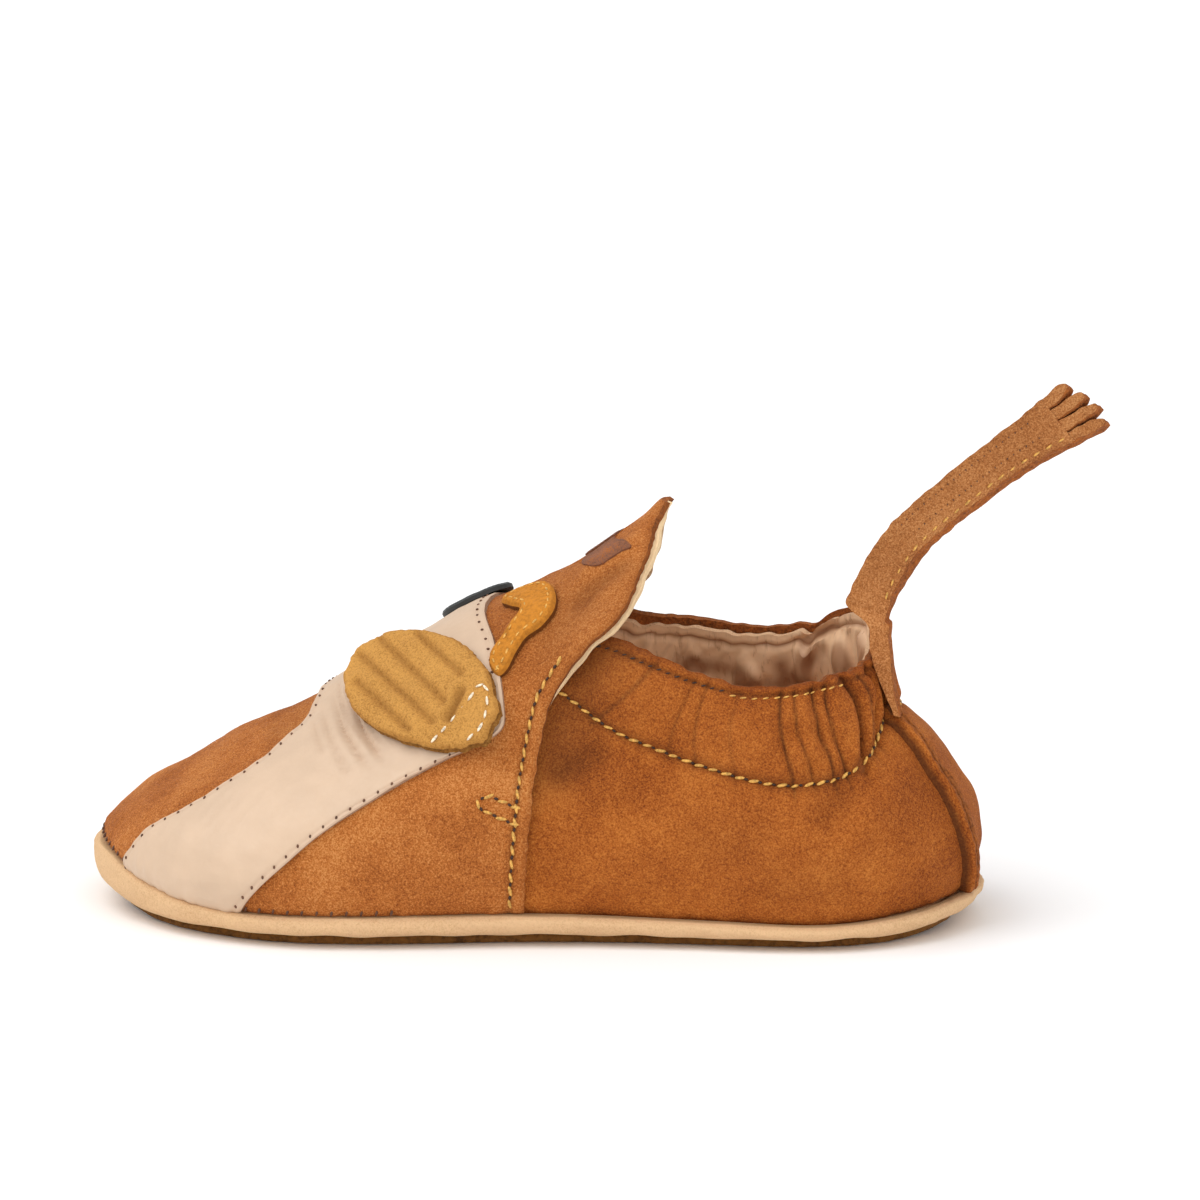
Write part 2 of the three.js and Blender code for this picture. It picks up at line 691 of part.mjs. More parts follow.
// Tail strap: a foot outside the collar's back, a curved strap above it and a slit tuft at its end.
function tailSolid() {
  const rimBack = columnAt(levels, 'z', collarHeight, 'back') * halfLength;
  const start = new THREE.Vector2(rimBack - tailWidth / 4, collarHeight);
  const middle = (t) => {
    const rise = columnAt(tailLine, 'rise', t, 'rise');
    return new THREE.Vector2(start.x + columnAt(tailLine, 'rise', t, 'reach') * tailReach, start.y + rise * tailRise);
  };
  const left = [];
  const right = [];
  const steps = 18;
  for (let i = 0; i <= steps; i += 1) {
    const t = i / steps;
    const here = middle(t);
    const along = middle(Math.min(t + 0.02, 1)).sub(middle(Math.max(t - 0.02, 0))).normalize();
    const half = columnAt(tailLine, 'rise', t, 'width') * tailWidth / 2;
    const square = new THREE.Vector2(-along.y, along.x);
    left.push(here.clone().addScaledVector(square, half));
    right.push(here.clone().addScaledVector(square, -half));
    if (i === steps) {
      left.push(...tuftEdge(left[i], right[i], along));
    }
  }
  const foot = [];
  const footRows = 5;
  for (let i = 0; i <= footRows; i += 1) {
    const z = THREE.MathUtils.lerp(collarHeight, casingFoot + gap, i / footRows);
    foot.push(new THREE.Vector2(columnAt(levels, 'z', z, 'back') * halfLength + casingPuff + tailStand, z));
  }
  const inside = foot.map((p) => new THREE.Vector2(p.x - casingPuff - tailStand - wall / 2, p.y)).reverse();
  const outline = [...left, ...right.reverse().slice(0, -1), ...foot, ...inside.slice(0, -1)];
  const middleY = -seamAside(collarHeight);
  const strap = prismBetween(
    outline,
    (p) => new THREE.Vector3(p.x, middleY - tailThickness / 2, p.y),
    (p) => new THREE.Vector3(p.x, middleY + tailThickness / 2, p.y),
  );
  return strap.subtract(quarterRing(gap));
}

// Points of the tuft's strips between the two corners of the strap's end.
function tuftEdge(leftCorner, rightCorner, along) {
  const points = [];
  const across = rightCorner.clone().sub(leftCorner);
  const width = across.length();
  across.normalize();
  for (let i = 0; i < tuftStrips; i += 1) {
    const reach = tuftLength * tuftReaches[i % tuftReaches.length];
    const from = i * width / tuftStrips + (i > 0 ? slitWidth / 2 : 0);
    const to = (i + 1) * width / tuftStrips - (i < tuftStrips - 1 ? slitWidth / 2 : 0);
    const spread = 1 + tuftSpread;
    const tipFrom = width / 2 + (from - width / 2) * spread;
    const tipTo = width / 2 + (to - width / 2) * spread;
    points.push(leftCorner.clone().addScaledVector(across, tipFrom).addScaledVector(along, reach));
    points.push(leftCorner.clone().addScaledVector(across, tipTo).addScaledVector(along, reach));
    if (i < tuftStrips - 1) {
      points.push(leftCorner.clone().addScaledVector(across, (i + 1) * width / tuftStrips));
    }
  }
  return points;
}

// Closed loop of points round the sole at an inset from the last's outline, at heights given along it.
function soleRing(inset, heightAt) {
  const ring = [];
  const half = (side, from, to) => {
    const step = from < to ? 1 : -1;
    for (let i = from; i !== to + step; i += step) {
      const station = 3 * i / soleStations;
      const z = seamAt(outlinePoint(side, seamAt(0), station).x);
      const here = outlinePoint(side, z, station);
      const ahead = outlinePoint(side, z, Math.min(station + 0.02, 3));
      const behind = outlinePoint(side, z, Math.max(station - 0.02, 0));
      const along = ahead.sub(behind).normalize();
      if (i === 0 || i === soleStations) {
        along.set(0, side * (i === 0 ? 1 : -1));
      }
      const x = here.x - side * inset * -along.y;
      const y = here.y - side * inset * along.x;
      ring.push(new THREE.Vector3(x, y, heightAt(x)));
    }
  };
  half(-1, 0, soleStations);
  half(1, soleStations - 1, 1);
  return ring;
}

// Solid through a stack of sole rings, its ends closed by strips across the sole.
function soleStack(rings) {
  const count = rings[0].length;
  const points = rings.flat();
  const triangles = [];
  for (let r = 0; r < rings.length - 1; r += 1) {
    for (let i = 0; i < count; i += 1) {
      const j = (i + 1) % count;
      triangles.push([r * count + i, r * count + j, (r + 1) * count + j]);
      triangles.push([r * count + i, (r + 1) * count + j, (r + 1) * count + i]);
    }
  }
  const cap = (start, turned) => {
    const add = (a, b, c) => triangles.push(turned ? [start + a, start + c, start + b] : [start + a, start + b, start + c]);
    for (let i = 0; i < soleStations; i += 1) {
      const far = (count - i) % count;
      const farNext = count - i - 1;
      if (i > 0) {
        add(i, far, i + 1);
      }
      if (i < soleStations - 1) {
        add(i + 1, far, farNext);
      }
    }
  };
  cap(0, false);
  cap((rings.length - 1) * count, true);
  return solidOf(points, triangles);
}

const soleUnder = (x) => springAt(x) + outsoleThickness + gap;
const soleFloor = (x) => soleUnder(x) + soleThickness;

function outsoleSolid() {
  const chamfer = 0.3;
  return soleStack([
    soleRing(outsoleInset + chamfer, springAt),
    soleRing(outsoleInset, (x) => springAt(x) + chamfer),
    soleRing(outsoleInset, (x) => springAt(x) + outsoleThickness - chamfer),
    soleRing(outsoleInset + chamfer, (x) => springAt(x) + outsoleThickness),
  ]);
}

// Sole leather: a flat bottom whose edge turns up in a round band to the upper's seam.
function soleSolid() {
  const band = (share) => (x) => THREE.MathUtils.lerp(soleUnder(x), seamAt(x), share);
  const innerFoot = (x) => THREE.MathUtils.lerp(soleFloor(x), seamAt(x), 0.3);
  return soleStack([
    soleRing(1.9 * soleThickness, soleUnder),
    soleRing(0.8 * soleThickness, band(0.08)),
    soleRing(-0.55 * bandProud, band(0.3)),
    soleRing(-bandProud, band(0.6)),
    soleRing(-0.9 * bandProud, band(0.88)),
    soleRing(0, seamAt),
    soleRing(soleThickness - bandProud, band(0.96)),
    soleRing(soleThickness, innerFoot),
    soleRing(1.8 * soleThickness, soleFloor),
  ]);
}

function insoleSolid() {
  const inset = wall + insoleClearance;
  const chamfer = 0.3;
  const under = (x) => soleFloor(x) + gap;
  return soleStack([
    soleRing(inset + chamfer, under),
    soleRing(inset, (x) => under(x) + chamfer),
    soleRing(inset, (x) => under(x) + insoleThickness - chamfer),
    soleRing(inset + chamfer, (x) => under(x) + insoleThickness),
  ]);
}

const leather = (color, roughness) => new THREE.MeshStandardMaterial({ color, roughness, metalness: 0 });
const nubuck = leather(0xba7034, 0.85);
const soleLeather = leather(0xf0cda2, 0.9);
const outsoleSuede = leather(0x966e37, 0.95);
const sock = leather(0xd9b896, 0.9);
const paleLeather = leather(0xe8d0b4, 0.6);
const mustardSuede = leather(0xcd9b4b, 0.92);
const darkLeather = leather(0x2d3232, 0.7);
const mauveSuede = leather(0x8c6450, 0.9);

const slipper = new THREE.Group();

function addPiece(name, solid, material) {
  const mesh = solid.getMesh();
  const geometry = new THREE.BufferGeometry();
  geometry.setAttribute('position', new THREE.BufferAttribute(Float32Array.from(mesh.vertProperties), 3));
  geometry.setIndex(new THREE.BufferAttribute(Uint32Array.from(mesh.triVerts), 1));
  geometry.computeVertexNormals();
  const piece = new THREE.Mesh(geometry, material);
  piece.name = name;
  slipper.add(piece);
}

addPiece('outsole', outsoleSolid(), outsoleSuede);
addPiece('sole', soleSolid(), soleLeather);
addPiece('insole', insoleSolid(), sock);
addPiece('upper', quarterRing(0).add(vampWithFlap()), nubuck);

const room = overlayRoom();
addPiece('face_overlay', faceOverlay(), paleLeather);
for (const [name, side] of [['left', -1], ['right', 1]]) {
  addPiece(`ear_${name}`, earSolid(name, side), mustardSuede);
  addPiece(`horn_${name}`, hornSolid(name, side, room, earSolid(name, side, gap)), mustardSuede);
  addPiece(`forelock_${name}`, forelockSolid(side), mauveSuede);
}
addPiece('dark_patch', patchSolid(room), darkLeather);
addPiece('back_seam', backSeamSolid(), nubuck);
addPiece('tail', tailSolid(), nubuck);

export default slipper;
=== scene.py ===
"""Dresses a toddler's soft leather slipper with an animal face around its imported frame.

Metres, +Z up, toe towards -X, outer side towards -Y, as in the frame.
"""

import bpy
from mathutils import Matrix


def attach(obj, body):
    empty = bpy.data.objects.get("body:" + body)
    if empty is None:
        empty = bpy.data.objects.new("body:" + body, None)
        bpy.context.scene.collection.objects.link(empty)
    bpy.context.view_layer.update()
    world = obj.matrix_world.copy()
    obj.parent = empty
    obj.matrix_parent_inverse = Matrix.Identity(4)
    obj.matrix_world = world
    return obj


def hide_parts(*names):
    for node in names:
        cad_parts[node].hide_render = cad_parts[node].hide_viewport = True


bl_info = {
    "name": "Leather Toddler Slipper",
    "version": (1, 0, 0),
    "blender": (4, 5, 0),
    "location": "3D View > Sidebar > Slipper",
    "description": "Builds the leathers, stitching and stage of a toddler's slipper around its frame",
    "category": "Object",
}

import math

import bpy
import numpy as np
from bpy.props import FloatProperty, FloatVectorProperty, PointerProperty
from mathutils import Matrix, Vector, geometry

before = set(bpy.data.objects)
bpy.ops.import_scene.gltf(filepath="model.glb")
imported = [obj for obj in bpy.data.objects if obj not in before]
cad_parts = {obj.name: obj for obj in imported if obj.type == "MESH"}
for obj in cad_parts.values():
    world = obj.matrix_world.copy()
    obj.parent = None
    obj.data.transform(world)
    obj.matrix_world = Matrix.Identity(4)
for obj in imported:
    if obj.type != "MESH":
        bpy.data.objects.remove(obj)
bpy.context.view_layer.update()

MM = 0.001

# Level outlines of the last. rise is a share of the instep height, or for the flap rows of the height from
# instep to flap tip; toe, ball, heel and back are places in shares of half the sole length; vamp is where the
# vamp's rear edge crosses the level; the three widths are shares of the named widths.
LEVEL_COLUMNS = ("z", "toe", "ball", "heel", "back", "vamp", "ball_share", "waist_share", "heel_share")
LAST_LEVELS = (
    (0.04, -0.985, -0.44, 0.55, 0.945, 0.03, 0.97, 0.97, 0.94),
    (0.13, -1, -0.44, 0.55, 0.96, 0.035, 0.99, 0.99, 0.97),
    (0.21, -0.985, -0.44, 0.55, 0.975, 0.04, 1, 1.02, 1.01),
    (0.29, -0.925, -0.42, 0.55, 0.975, 0.045, 0.99, 1.03, 1.02),
    (0.37, -0.84, -0.36, 0.54, 0.96, 0.05, 0.96, 1.01, 1),
    (0.455, -0.725, -0.25, 0.53, 0.922, 0.055, 0.9, 0.97, 0.96),
    (0.54, -0.618, -0.14, 0.51, 0.873, 0.062, 0.815, 0.92, 0.91),
    (0.647, -0.465, 0, 0.49, 0.805, 0.075, 0.75, 0.86, 0.82),
    (0.755, -0.325, 0.1, 0.48, 0.775, 0.1, 0.7, 0.8, 0.745),
    (0.866, -0.19, 0.19, 0.48, 0.758, 0.162, 0.64, 0.74, 0.71),
    (0.947, -0.083, 0.25, 0.48, 0.758, 0.228, 0.57, 0.68, 0.69),
    (1, 0.005, 0.29, 0.48, 0.758, 0.25, 0.49, 0.6, 0.68),
)
FLAP_LEVELS = (
    (0.28, 0.115, 0.33, 0.48, 0.758, 0.268, 0.4, 0.5, 0.68),
    (0.5, 0.19, 0.36, 0.48, 0.758, 0.28, 0.32, 0.45, 0.68),
    (0.68, 0.24, 0.38, 0.48, 0.758, 0.284, 0.25, 0.4, 0.68),
    (1, 0.29, 0.41, 0.48, 0.758, 0.3, 0.16, 0.3, 0.68),
)
# Seam between upper and sole: along in shares of half the sole length, rise in shares of its height at the
# toe.
SEAM_LINE = (
    (-1, 1), (-0.93, 0.945), (-0.87, 0.84), (-0.8, 0.7), (-0.7, 0.56), (-0.55, 0.495),
    (0, 0.505), (0.45, 0.43), (0.7, 0.4), (0.87, 0.495), (1, 0.625),
)
# Collar rim: along, then the outer and inner side's rim in shares of the collar height.
RIM_LINE = (
    (-0.1, 0.975, 0.95), (0.08, 0.98, 0.93), (0.22, 0.965, 0.885), (0.31, 0.915, 0.875), (0.42, 0.85, 0.858),
    (0.51, 0.818, 0.865), (0.557, 0.818, 0.878), (0.585, 0.82, 0.875), (0.62, 0.825, 0.915),
    (0.68, 0.84, 0.955),
    (0.74, 0.85, 0.985), (0.77, 0.855, 0.99),
)
# Casing seam: share around, height in shares of the collar height.
CASING_LINE = (
    (0.3, 0.86), (0.37, 0.83), (0.44, 0.78), (0.544, 0.676), (0.603, 0.627), (0.654, 0.584), (0.712, 0.544),
    (0.756, 0.529), (0.802, 0.54), (0.843, 0.573), (0.896, 0.644), (0.928, 0.68), (1, 0.689),
)
# Free strip behind the vamp: rise in shares of the flap height, strip and lift in shares of their sizes.
FREE_LINE = (
    (0.36, 0.02, 0), (0.45, 0.4, 0.2), (0.57, 0.8, 0.6), (0.68, 1.1, 1), (0.8, 1.6, 0.7), (1, 1.6, 0)
)
# Pale overlay: rise in shares of the instep height, front and rear edge in shares of half the sole length.
OVERLAY_EDGES = (
    (0.05, -0.9, -0.6), (0.16, -0.88, -0.545), (0.27, -0.81, -0.46), (0.34, -0.73, -0.4),
    (0.45, -0.6, -0.275),
    (0.55, -0.515, -0.145), (0.62, -0.475, -0.045), (0.66, -0.475, -0.012), (0.72, -0.48, -0.01),
    (0.8, -0.48, -0.022), (0.88, -0.48, -0.05), (0.94, -0.48, -0.095), (1.05, -0.48, -0.12),
)
# Hooked horn in shares of its length: back towards the heel, up the vamp.
HORN_OUTLINE = (
    (-0.22, -0.5), (-0.28, -0.31), (-0.13, -0.04), (-0.05, 0.13), (-0.18, 0.24), (-0.3, 0.37), (-0.19, 0.5),
    (0.04, 0.5), (0.2, 0.36), (0.27, 0.08), (0.19, -0.1), (0.02, -0.22), (-0.12, -0.47),
)
# Forelock's leaf seen from the side, in shares of half the sole length and of the flap height.
FORELOCK_OUTLINE = (
    (0.114, 0.845), (0.145, 0.868), (0.172, 0.886), (0.212, 0.892), (0.246, 0.886), (0.222, 0.872),
    (0.203, 0.858),
    (0.18, 0.842), (0.15, 0.834),
)
# Raised back seam: rise in shares of the collar height, aside in shares of the heel width.
BACK_SEAM_LINE = (
    (0.1, 0.09), (0.2, 0.155), (0.35, 0.19), (0.5, 0.175), (0.62, 0.15), (0.75, 0.12), (1, 0.085),
)
# Tail above the collar: rise and reach in shares of their sizes, width in shares of the strap's.
TAIL_LINE = (
    (0, 0, 1.03), (0.144, 0.06, 0.98), (0.31, 0.16, 0.95), (0.443, 0.27, 0.96), (0.614, 0.47, 1),
    (0.81, 0.72, 1.04), (0.92, 0.88, 1.16), (1, 1, 1.32),
)
# Gathers of the collar's casing: shares around at the rim, half way down and at the casing seam; width and
# depth in millimetres.
GATHER_COLUMNS = ("rim", "middle", "foot", "width", "depth")
OUTER_GATHERS = (
    (0.53, 0.52, 0.5, 1.4, 0.25),
    (0.611, 0.612, 0.614, 0.9, 0.22),
    (0.634, 0.64, 0.648, 0.8, 0.25),
    (0.69, 0.69, 0.695, 1.0, 0.15),
    (0.75, 0.755, 0.759, 0.8, 0.5),
    (0.77, 0.776, 0.783, 0.65, 0.4),
    (0.798, 0.803, 0.807, 0.75, 0.6),
    (0.817, 0.82, 0.822, 0.65, 0.6),
    (0.846, 0.872, 0.846, 1.0, 1.6),
    (0.868, 0.89, 0.87, 0.6, 0.5),
    (0.905, 0.908, 0.886, 0.7, 0.8),
    (0.93, 0.935, 0.93, 0.8, 0.8),
)
INNER_GATHERS = (
    (0.6, 0.6, 0.61, 0.9, 0.3),
    (0.66, 0.665, 0.67, 0.8, 0.4),
    (0.72, 0.725, 0.73, 0.7, 0.5),
    (0.76, 0.765, 0.77, 0.8, 0.6),
    (0.8, 0.81, 0.81, 0.7, 0.7),
    (0.85, 0.86, 0.85, 0.9, 1.2),
    (0.91, 0.915, 0.91, 0.8, 0.7),
)
# Soft creases of the upper seen from the side: two ends along in shares of half the sole length and up in
# shares of the instep height; width and depth in millimetres, a negative depth for a ridge.
# The dents of these creases also get painted shade.
CREASE_COLUMNS = ("along_a", "rise_a", "along_b", "rise_b", "width", "depth")
QUARTER_CREASES = (
    (0.07, 0.5, 0.24, 0.62, 2.2, 0.9),
    (0.1, 0.42, 0.3, 0.56, 2.6, -0.6),
    (0.74, 0.52, 0.66, 0.36, 2.4, 0.8),
    (0.79, 0.46, 0.72, 0.28, 2.2, -0.5),
    (0.35, 0.3, 0.62, 0.36, 3.5, 0.5),
    (0.5, 0.16, 0.78, 0.22, 3, 0.4),
)
VAMP_CREASES = (
    (0.1, 1.02, 0.28, 1.18, 0.8, -0.7),
    (0.1, 0.97, 0.27, 1.12, 1.1, 0.6),
    (0.02, 0.86, 0.2, 1.04, 2.4, 0.3),
    (-0.08, 0.72, 0.03, 0.52, 3, 0.2),
    (-0.82, 0.4, -0.62, 0.55, 2.5, -0.4),
    (-0.6, 0.52, -0.45, 0.62, 2.5, 0.35),
)
OVERLAY_CREASES = (
    (-0.42, 0.71, -0.25, 0.52, 0.45, 0.34),
    (-0.44, 0.67, -0.28, 0.5, 0.35, 0.24),
    (-0.41, 0.67, -0.3, 0.56, 0.28, 0.22),
    (-0.45, 0.63, -0.33, 0.48, 0.35, 0.2),
    (-0.39, 0.7, -0.25, 0.55, 0.3, 0.24),
    (-0.4, 0.62, -0.3, 0.51, 0.28, 0.2),
    (-0.46, 0.6, -0.4, 0.52, 0.35, 0.16),
    (-0.37, 0.66, -0.27, 0.53, 0.28, 0.2),
    (-0.43, 0.69, -0.34, 0.58, 0.26, 0.2),
)
# On the lining the hollows of these rows are held almost flat, so they show mostly as painted shade.
LINING_CREASES = (
    (0.54, 0.77, 0.67, 0.87, 0.6, 0.9),
    (0.52, 0.79, 0.66, 0.895, 0.8, -0.6),
    (0.56, 0.7, 0.63, 0.8, 1.0, 0.5),
    (0.23, 0.7, 0.44, 0.69, 1.3, 1.1),
    (0.495, 0.75, 0.525, 0.63, 1.5, 1.2),
    (0.38, 0.64, 0.62, 0.65, 1.3, 0.9),
)
# Marks on the ear in shares of half its length and width, the free end towards +1.
EAR_LINES = (
    ((0.42, -0.8), (-0.42, -0.5)), ((0.8, -0.45), (-0.45, 0.04)), ((0.9, -0.05), (-0.46, 0.44)),
    ((0.7, 0.4), (-0.3, 0.76)),
)
EAR_TUCK = ((-0.56, -0.22), (-0.6, 0.26))
EAR_STITCHES = (
    (-0.6, 0.68), (-0.64, 0.35), (-0.67, 0), (-0.72, -0.56), (-0.84, -0.4), (-0.91, -0.12), (-0.93, 0.12),
    (-0.89, 0.34),
)
BAR_TACK = ((0.021, 0.434), (-0.038, 0.464), (-0.06, 0.44), (-0.05, 0.428), (0.018, 0.385))

TOE_FULLNESS = 1.95
HEEL_FULLNESS = 2.15
ARCH_RISE = 0.4
TOE_RISE_START = 0.72
HEEL_RISE_START = 0.77
SKEW_START = 0.6
TUFT_REACHES = (0.75, 0.95, 1.05, 0.95)
TAIL_TURN = math.radians(24)
RIM_BLEND = 0.5

# Places of the sewn-on pieces: along in shares of half the sole length, rise in shares of the instep height.
EAR_TILT = 146
EAR_PLACES = {"left": (-0.193, 0.717, 1), "right": (-0.193, 0.64, 0)}
HORN_PLACES = {"left": (0.018, 0.93), "right": (0.018, 0.83)}
PATCH_PLACE = (-0.14, 0.885)
SIDES = {"left": -1, "right": 1}

# Columns round and rows up each grid of the soft pieces, and stations along each side of the sole.
QUARTER_GRID = (640, 100)
LINING_GRID = (900, 62)
VAMP_GRID = (330, 120)
VAMP_LINING_GRID = (200, 90)
OVERLAY_GRID = (84, 120)
SOLE_STATIONS = 200
SHARP_ANGLE = math.radians(35)

# How far stitch rows lie inside an edge, and how far their threads stand over the leather.
VAMP_ROW_INSET = 2.1 * MM
OVERLAY_ROW_INSET = 1.05 * MM
HORN_ROW_INSET = 0.95 * MM
THREAD_RISE = 0.12 * MM
EAR_THREAD_RISE = 0.2 * MM
STITCH_UNEVENNESS = 0.1

# The photograph's view: azimuth, elevation and roll in degrees, the place looked at and where it lies in the
# picture's pixels.
CAMERA_ANGLES = (10.0, 12.0, -0.6)
CAMERA_DISTANCE = 0.9
FRAME_PIXELS = 1200
PIXELS_PER_MM = 6.95
CAMERA_TARGET = (8.5 * MM, 0, 30 * MM)
TARGET_PIXEL = (596.5, 704.0)
SENSOR_WIDTH = 36

# The studio: strength of the white surroundings, half the floor's side, and each lamp's place, strength and
# softness in degrees.
SURROUNDINGS = 0.72
FLOOR_HALF = 6.0
LAMPS = (("key_light", (-0.7, -0.5, 1.15), 1.55, 60), ("fill_light", (0.9, -0.9, 0.7), 0.75, 70))

# Lasts that the operators share, by their sizes.
LASTS = {}


def linear(red, green, blue):
    """Linear colour of three display values from 0 to 255."""
    return tuple(
        ((v / 255 + 0.055) / 1.055) ** 2.4 if v > 10 else v / 255 / 12.92 for v in (red, green, blue)
    )


def size(name, description, millimetres):
    return FloatProperty(
        name=name, description=description, default=millimetres * MM, unit="LENGTH", precision=5
    )


def colour(name, description, red, green, blue):
    return FloatVectorProperty(
        name=name, description=description, default=linear(red, green, blue), subtype="COLOR", size=3, min=0,
        max=1
    )


class SlipperSizes(bpy.types.PropertyGroup):
    """Sizes of the slipper."""

    sole_length: size("Sole length", "Length of the last at its longest level", 131)
    ball_width: size("Ball width", "Width across the ball of the foot", 59)
    waist_width: size("Waist width", "Width across the waist", 50)
    heel_width: size("Heel width", "Width across the heel", 48)
    instep_height: size("Instep height", "Height of the vamp's ridge at the throat", 47)
    flap_height: size("Flap height", "Height of the throat flap's tip", 60)
    collar_height: size("Collar height", "Height of the collar's rim at the back", 45)
    toe_seam_height: size("Toe seam height", "Height of the sole seam at the toe", 9.3)
    toe_spring: size("Toe spring", "How far the toe stands off the floor", 1.8)
    heel_spring: size("Heel spring", "How far the heel's back stands off the floor", 2.2)
    toe_lean: size("Toe lean", "How far the toe leans to the inner side", 4)
    arch_inset: size("Arch inset", "How far the inner side draws in at the waist", 2)
    wall: size("Wall", "Leather and lining together", 2)
    leather: size("Leather", "Thickness of the upper's leather", 0.95)
    lining: size("Lining", "Thickness of the lining", 0.75)
    lining_show: size("Lining show", "How far the flap's lining stands past its leather", 0.6)
    vamp_step: size("Vamp step", "How far the vamp lies over the quarter", 1)
    flap_lift: size("Flap lift", "How far the vamp's free edge lifts", 2.4)
    flap_skew: size("Flap skew", "How much further forward the flap's inner edge is", 2.2)
    free_strip: size("Free strip", "Width of the strip that the vamp is free on", 7)
    casing_depth: size("Casing depth", "Depth of the collar's casing", 12)
    casing_puff: size("Casing puff", "How far the casing swells", 1.7)
    band_proud: size("Band", "How far the sole's band stands out", 1.6)
    sole_thickness: size("Sole thickness", "Thickness of the sole leather", 1.4)
    outsole_thickness: size("Outsole thickness", "Thickness of the outsole", 1.2)
    outsole_inset: size("Outsole inset", "How far the outsole stays inside the sole", 2.4)
    insole_thickness: size("Insole thickness", "Thickness of the sock", 1.2)
    gap: size("Gap", "Clearance between two pieces", 0.3)
    overlay: size("Overlay", "Thickness of the pale overlay", 0.6)
    ear_length: size("Ear length", "Length of the ear", 27.8)
    ear_width: size("Ear width", "Width of the ear", 17)
    ear_thickness: size("Ear thickness", "Thickness of the ear's two layers", 1.5)
    ear_lift: size("Ear lift", "How far the ear's free end stands up", 0.8)
    horn_length: size("Horn length", "Length of the horn", 17)
    horn_thickness: size("Horn thickness", "Thickness of the horn", 1)
    patch_length: size("Patch length", "Length of the dark patch", 11)
    patch_width: size("Patch width", "Width of the dark patch", 9)
    patch_thickness: size("Patch thickness", "Thickness of the dark patch", 0.6)
    forelock_thickness: size("Forelock thickness", "Thickness of the forelock's leaf", 0.6)
    seam_width: size("Back seam width", "Width of the raised back seam", 2.4)
    seam_height: size("Back seam height", "How far the back seam stands out", 2)
    tail_width: size("Tail width", "Width of the tail's strap", 6)
    tail_thickness: size("Tail thickness", "Thickness of the tail's two layers", 2.4)
    tail_stand: size("Tail stand", "How far the tail's foot stands out of the collar", 1.3)
    tail_reach: size("Tail reach", "How far back the tail reaches", 27.5)
    tail_rise: size("Tail rise", "How far the tail rises above the collar", 28)
    tuft_length: size("Tuft length", "Length of the tuft's strips", 5.4)
    tuft_spread: FloatProperty(
        name="Tuft spread", description="How far the tuft's strips spread", default=0.12
    )
    pitch: size("Stitch pitch", "Distance from stitch to stitch", 2)
    thread: size("Thread", "Width of the sewing thread", 0.5)


class SlipperColours(bpy.types.PropertyGroup):
    """Colours of the slipper."""

    nubuck: colour("Nubuck", "Brown nubuck of the upper", 186, 107, 44)
    nubuck_light: colour("Nubuck light", "Where the nap lies light", 220, 149, 82)
    nubuck_dark: colour("Nubuck dark", "Where the nap lies dark", 134, 68, 20)
    # The quarter's three colours are the nubuck's painted darker: painted shade of the shoe's upright side.
    quarter: colour("Quarter", "Deeper nubuck of the quarter", 170, 90, 27)
    quarter_light: colour("Quarter light", "Where the quarter's nap lies light", 204, 124, 51)
    quarter_dark: colour("Quarter dark", "Where the quarter's nap lies dark", 116, 52, 8)
    raw_edge: colour("Raw edge", "Cut edges of the brown leather", 156, 88, 40)
    pale_leather: colour("Pale leather", "Smooth cream leather of the face", 208, 179, 151)
    # The pale leather's dark colour is also the painted shade in the overlay's creases.
    pale_dark: colour("Pale leather dark", "Creases of the cream leather", 184, 148, 120)
    lining: colour("Lining", "Cream lining leather", 255, 214, 172)
    lining_dark: colour("Lining dark", "Creases of the lining", 190, 144, 108)
    flap_lining: colour("Flap lining", "Lining that shows at the flap's edge", 243, 212, 166)
    sole_suede: colour("Sole suede", "Peach suede of the sole's band", 235, 194, 148)
    # The sole suede's dark colour, deepened, is also the painted shade in the band's crease.
    sole_dark: colour("Sole suede dark", "Hollows of the sole's suede", 202, 154, 104)
    outsole: colour("Outsole", "Olive-brown suede of the outsole", 136, 92, 42)
    outsole_dark: colour("Outsole dark", "Worn places of the outsole", 88, 56, 24)
    mustard: colour("Mustard", "Suede of the ears", 204, 148, 74)
    # The mustard's dark colour, deepened, is also the painted shade of the ears' lines and tuck.
    mustard_dark: colour("Mustard dark", "Hollows of the ears' suede", 160, 106, 42)
    horn: colour("Horn", "Leather of the horns", 194, 124, 38)
    horn_dark: colour("Horn dark", "Edges of the horns", 136, 78, 20)
    black_leather: colour("Dark leather", "Near-black leather of the patch", 44, 48, 48)
    mauve: colour("Mauve", "Suede of the forelock", 152, 100, 74)
    tail: colour("Tail", "Suede of the tail", 182, 114, 60)
    tail_light: colour("Tail light", "Where the tail's nap lies light", 216, 152, 94)
    tail_dark: colour("Tail dark", "Where the tail's nap lies dark", 132, 74, 32)
    gold_thread: colour("Gold thread", "Sewing thread of the brown leather", 222, 168, 78)
    pale_thread: colour("Pale thread", "Sewing thread of the ears", 240, 224, 196)
    brown_thread: colour("Brown thread", "Sewing thread of the overlay", 96, 58, 34)


def smooth(t):
    t = np.clip(t, 0, 1)
    return t * t * (3 - 2 * t)


def mound(distance, width):
    """1 at distance 0, falling off softly over a width."""
    return np.exp(-((distance / width) ** 2))


def mix(a, b, t):
    return a + (b - a) * t


def ripple(points, wavelength, seed):
    """Smooth waviness of about unit height over points in space."""
    chance = np.random.default_rng(seed)
    total = 0
    for _ in range(7):
        direction = chance.normal(size=3)
        direction *= 2 * np.pi * chance.uniform(0.7, 1.5) / wavelength / np.linalg.norm(direction)
        total = total + np.sin(points @ direction + chance.uniform(0, 2 * np.pi))
    return total / 2.6


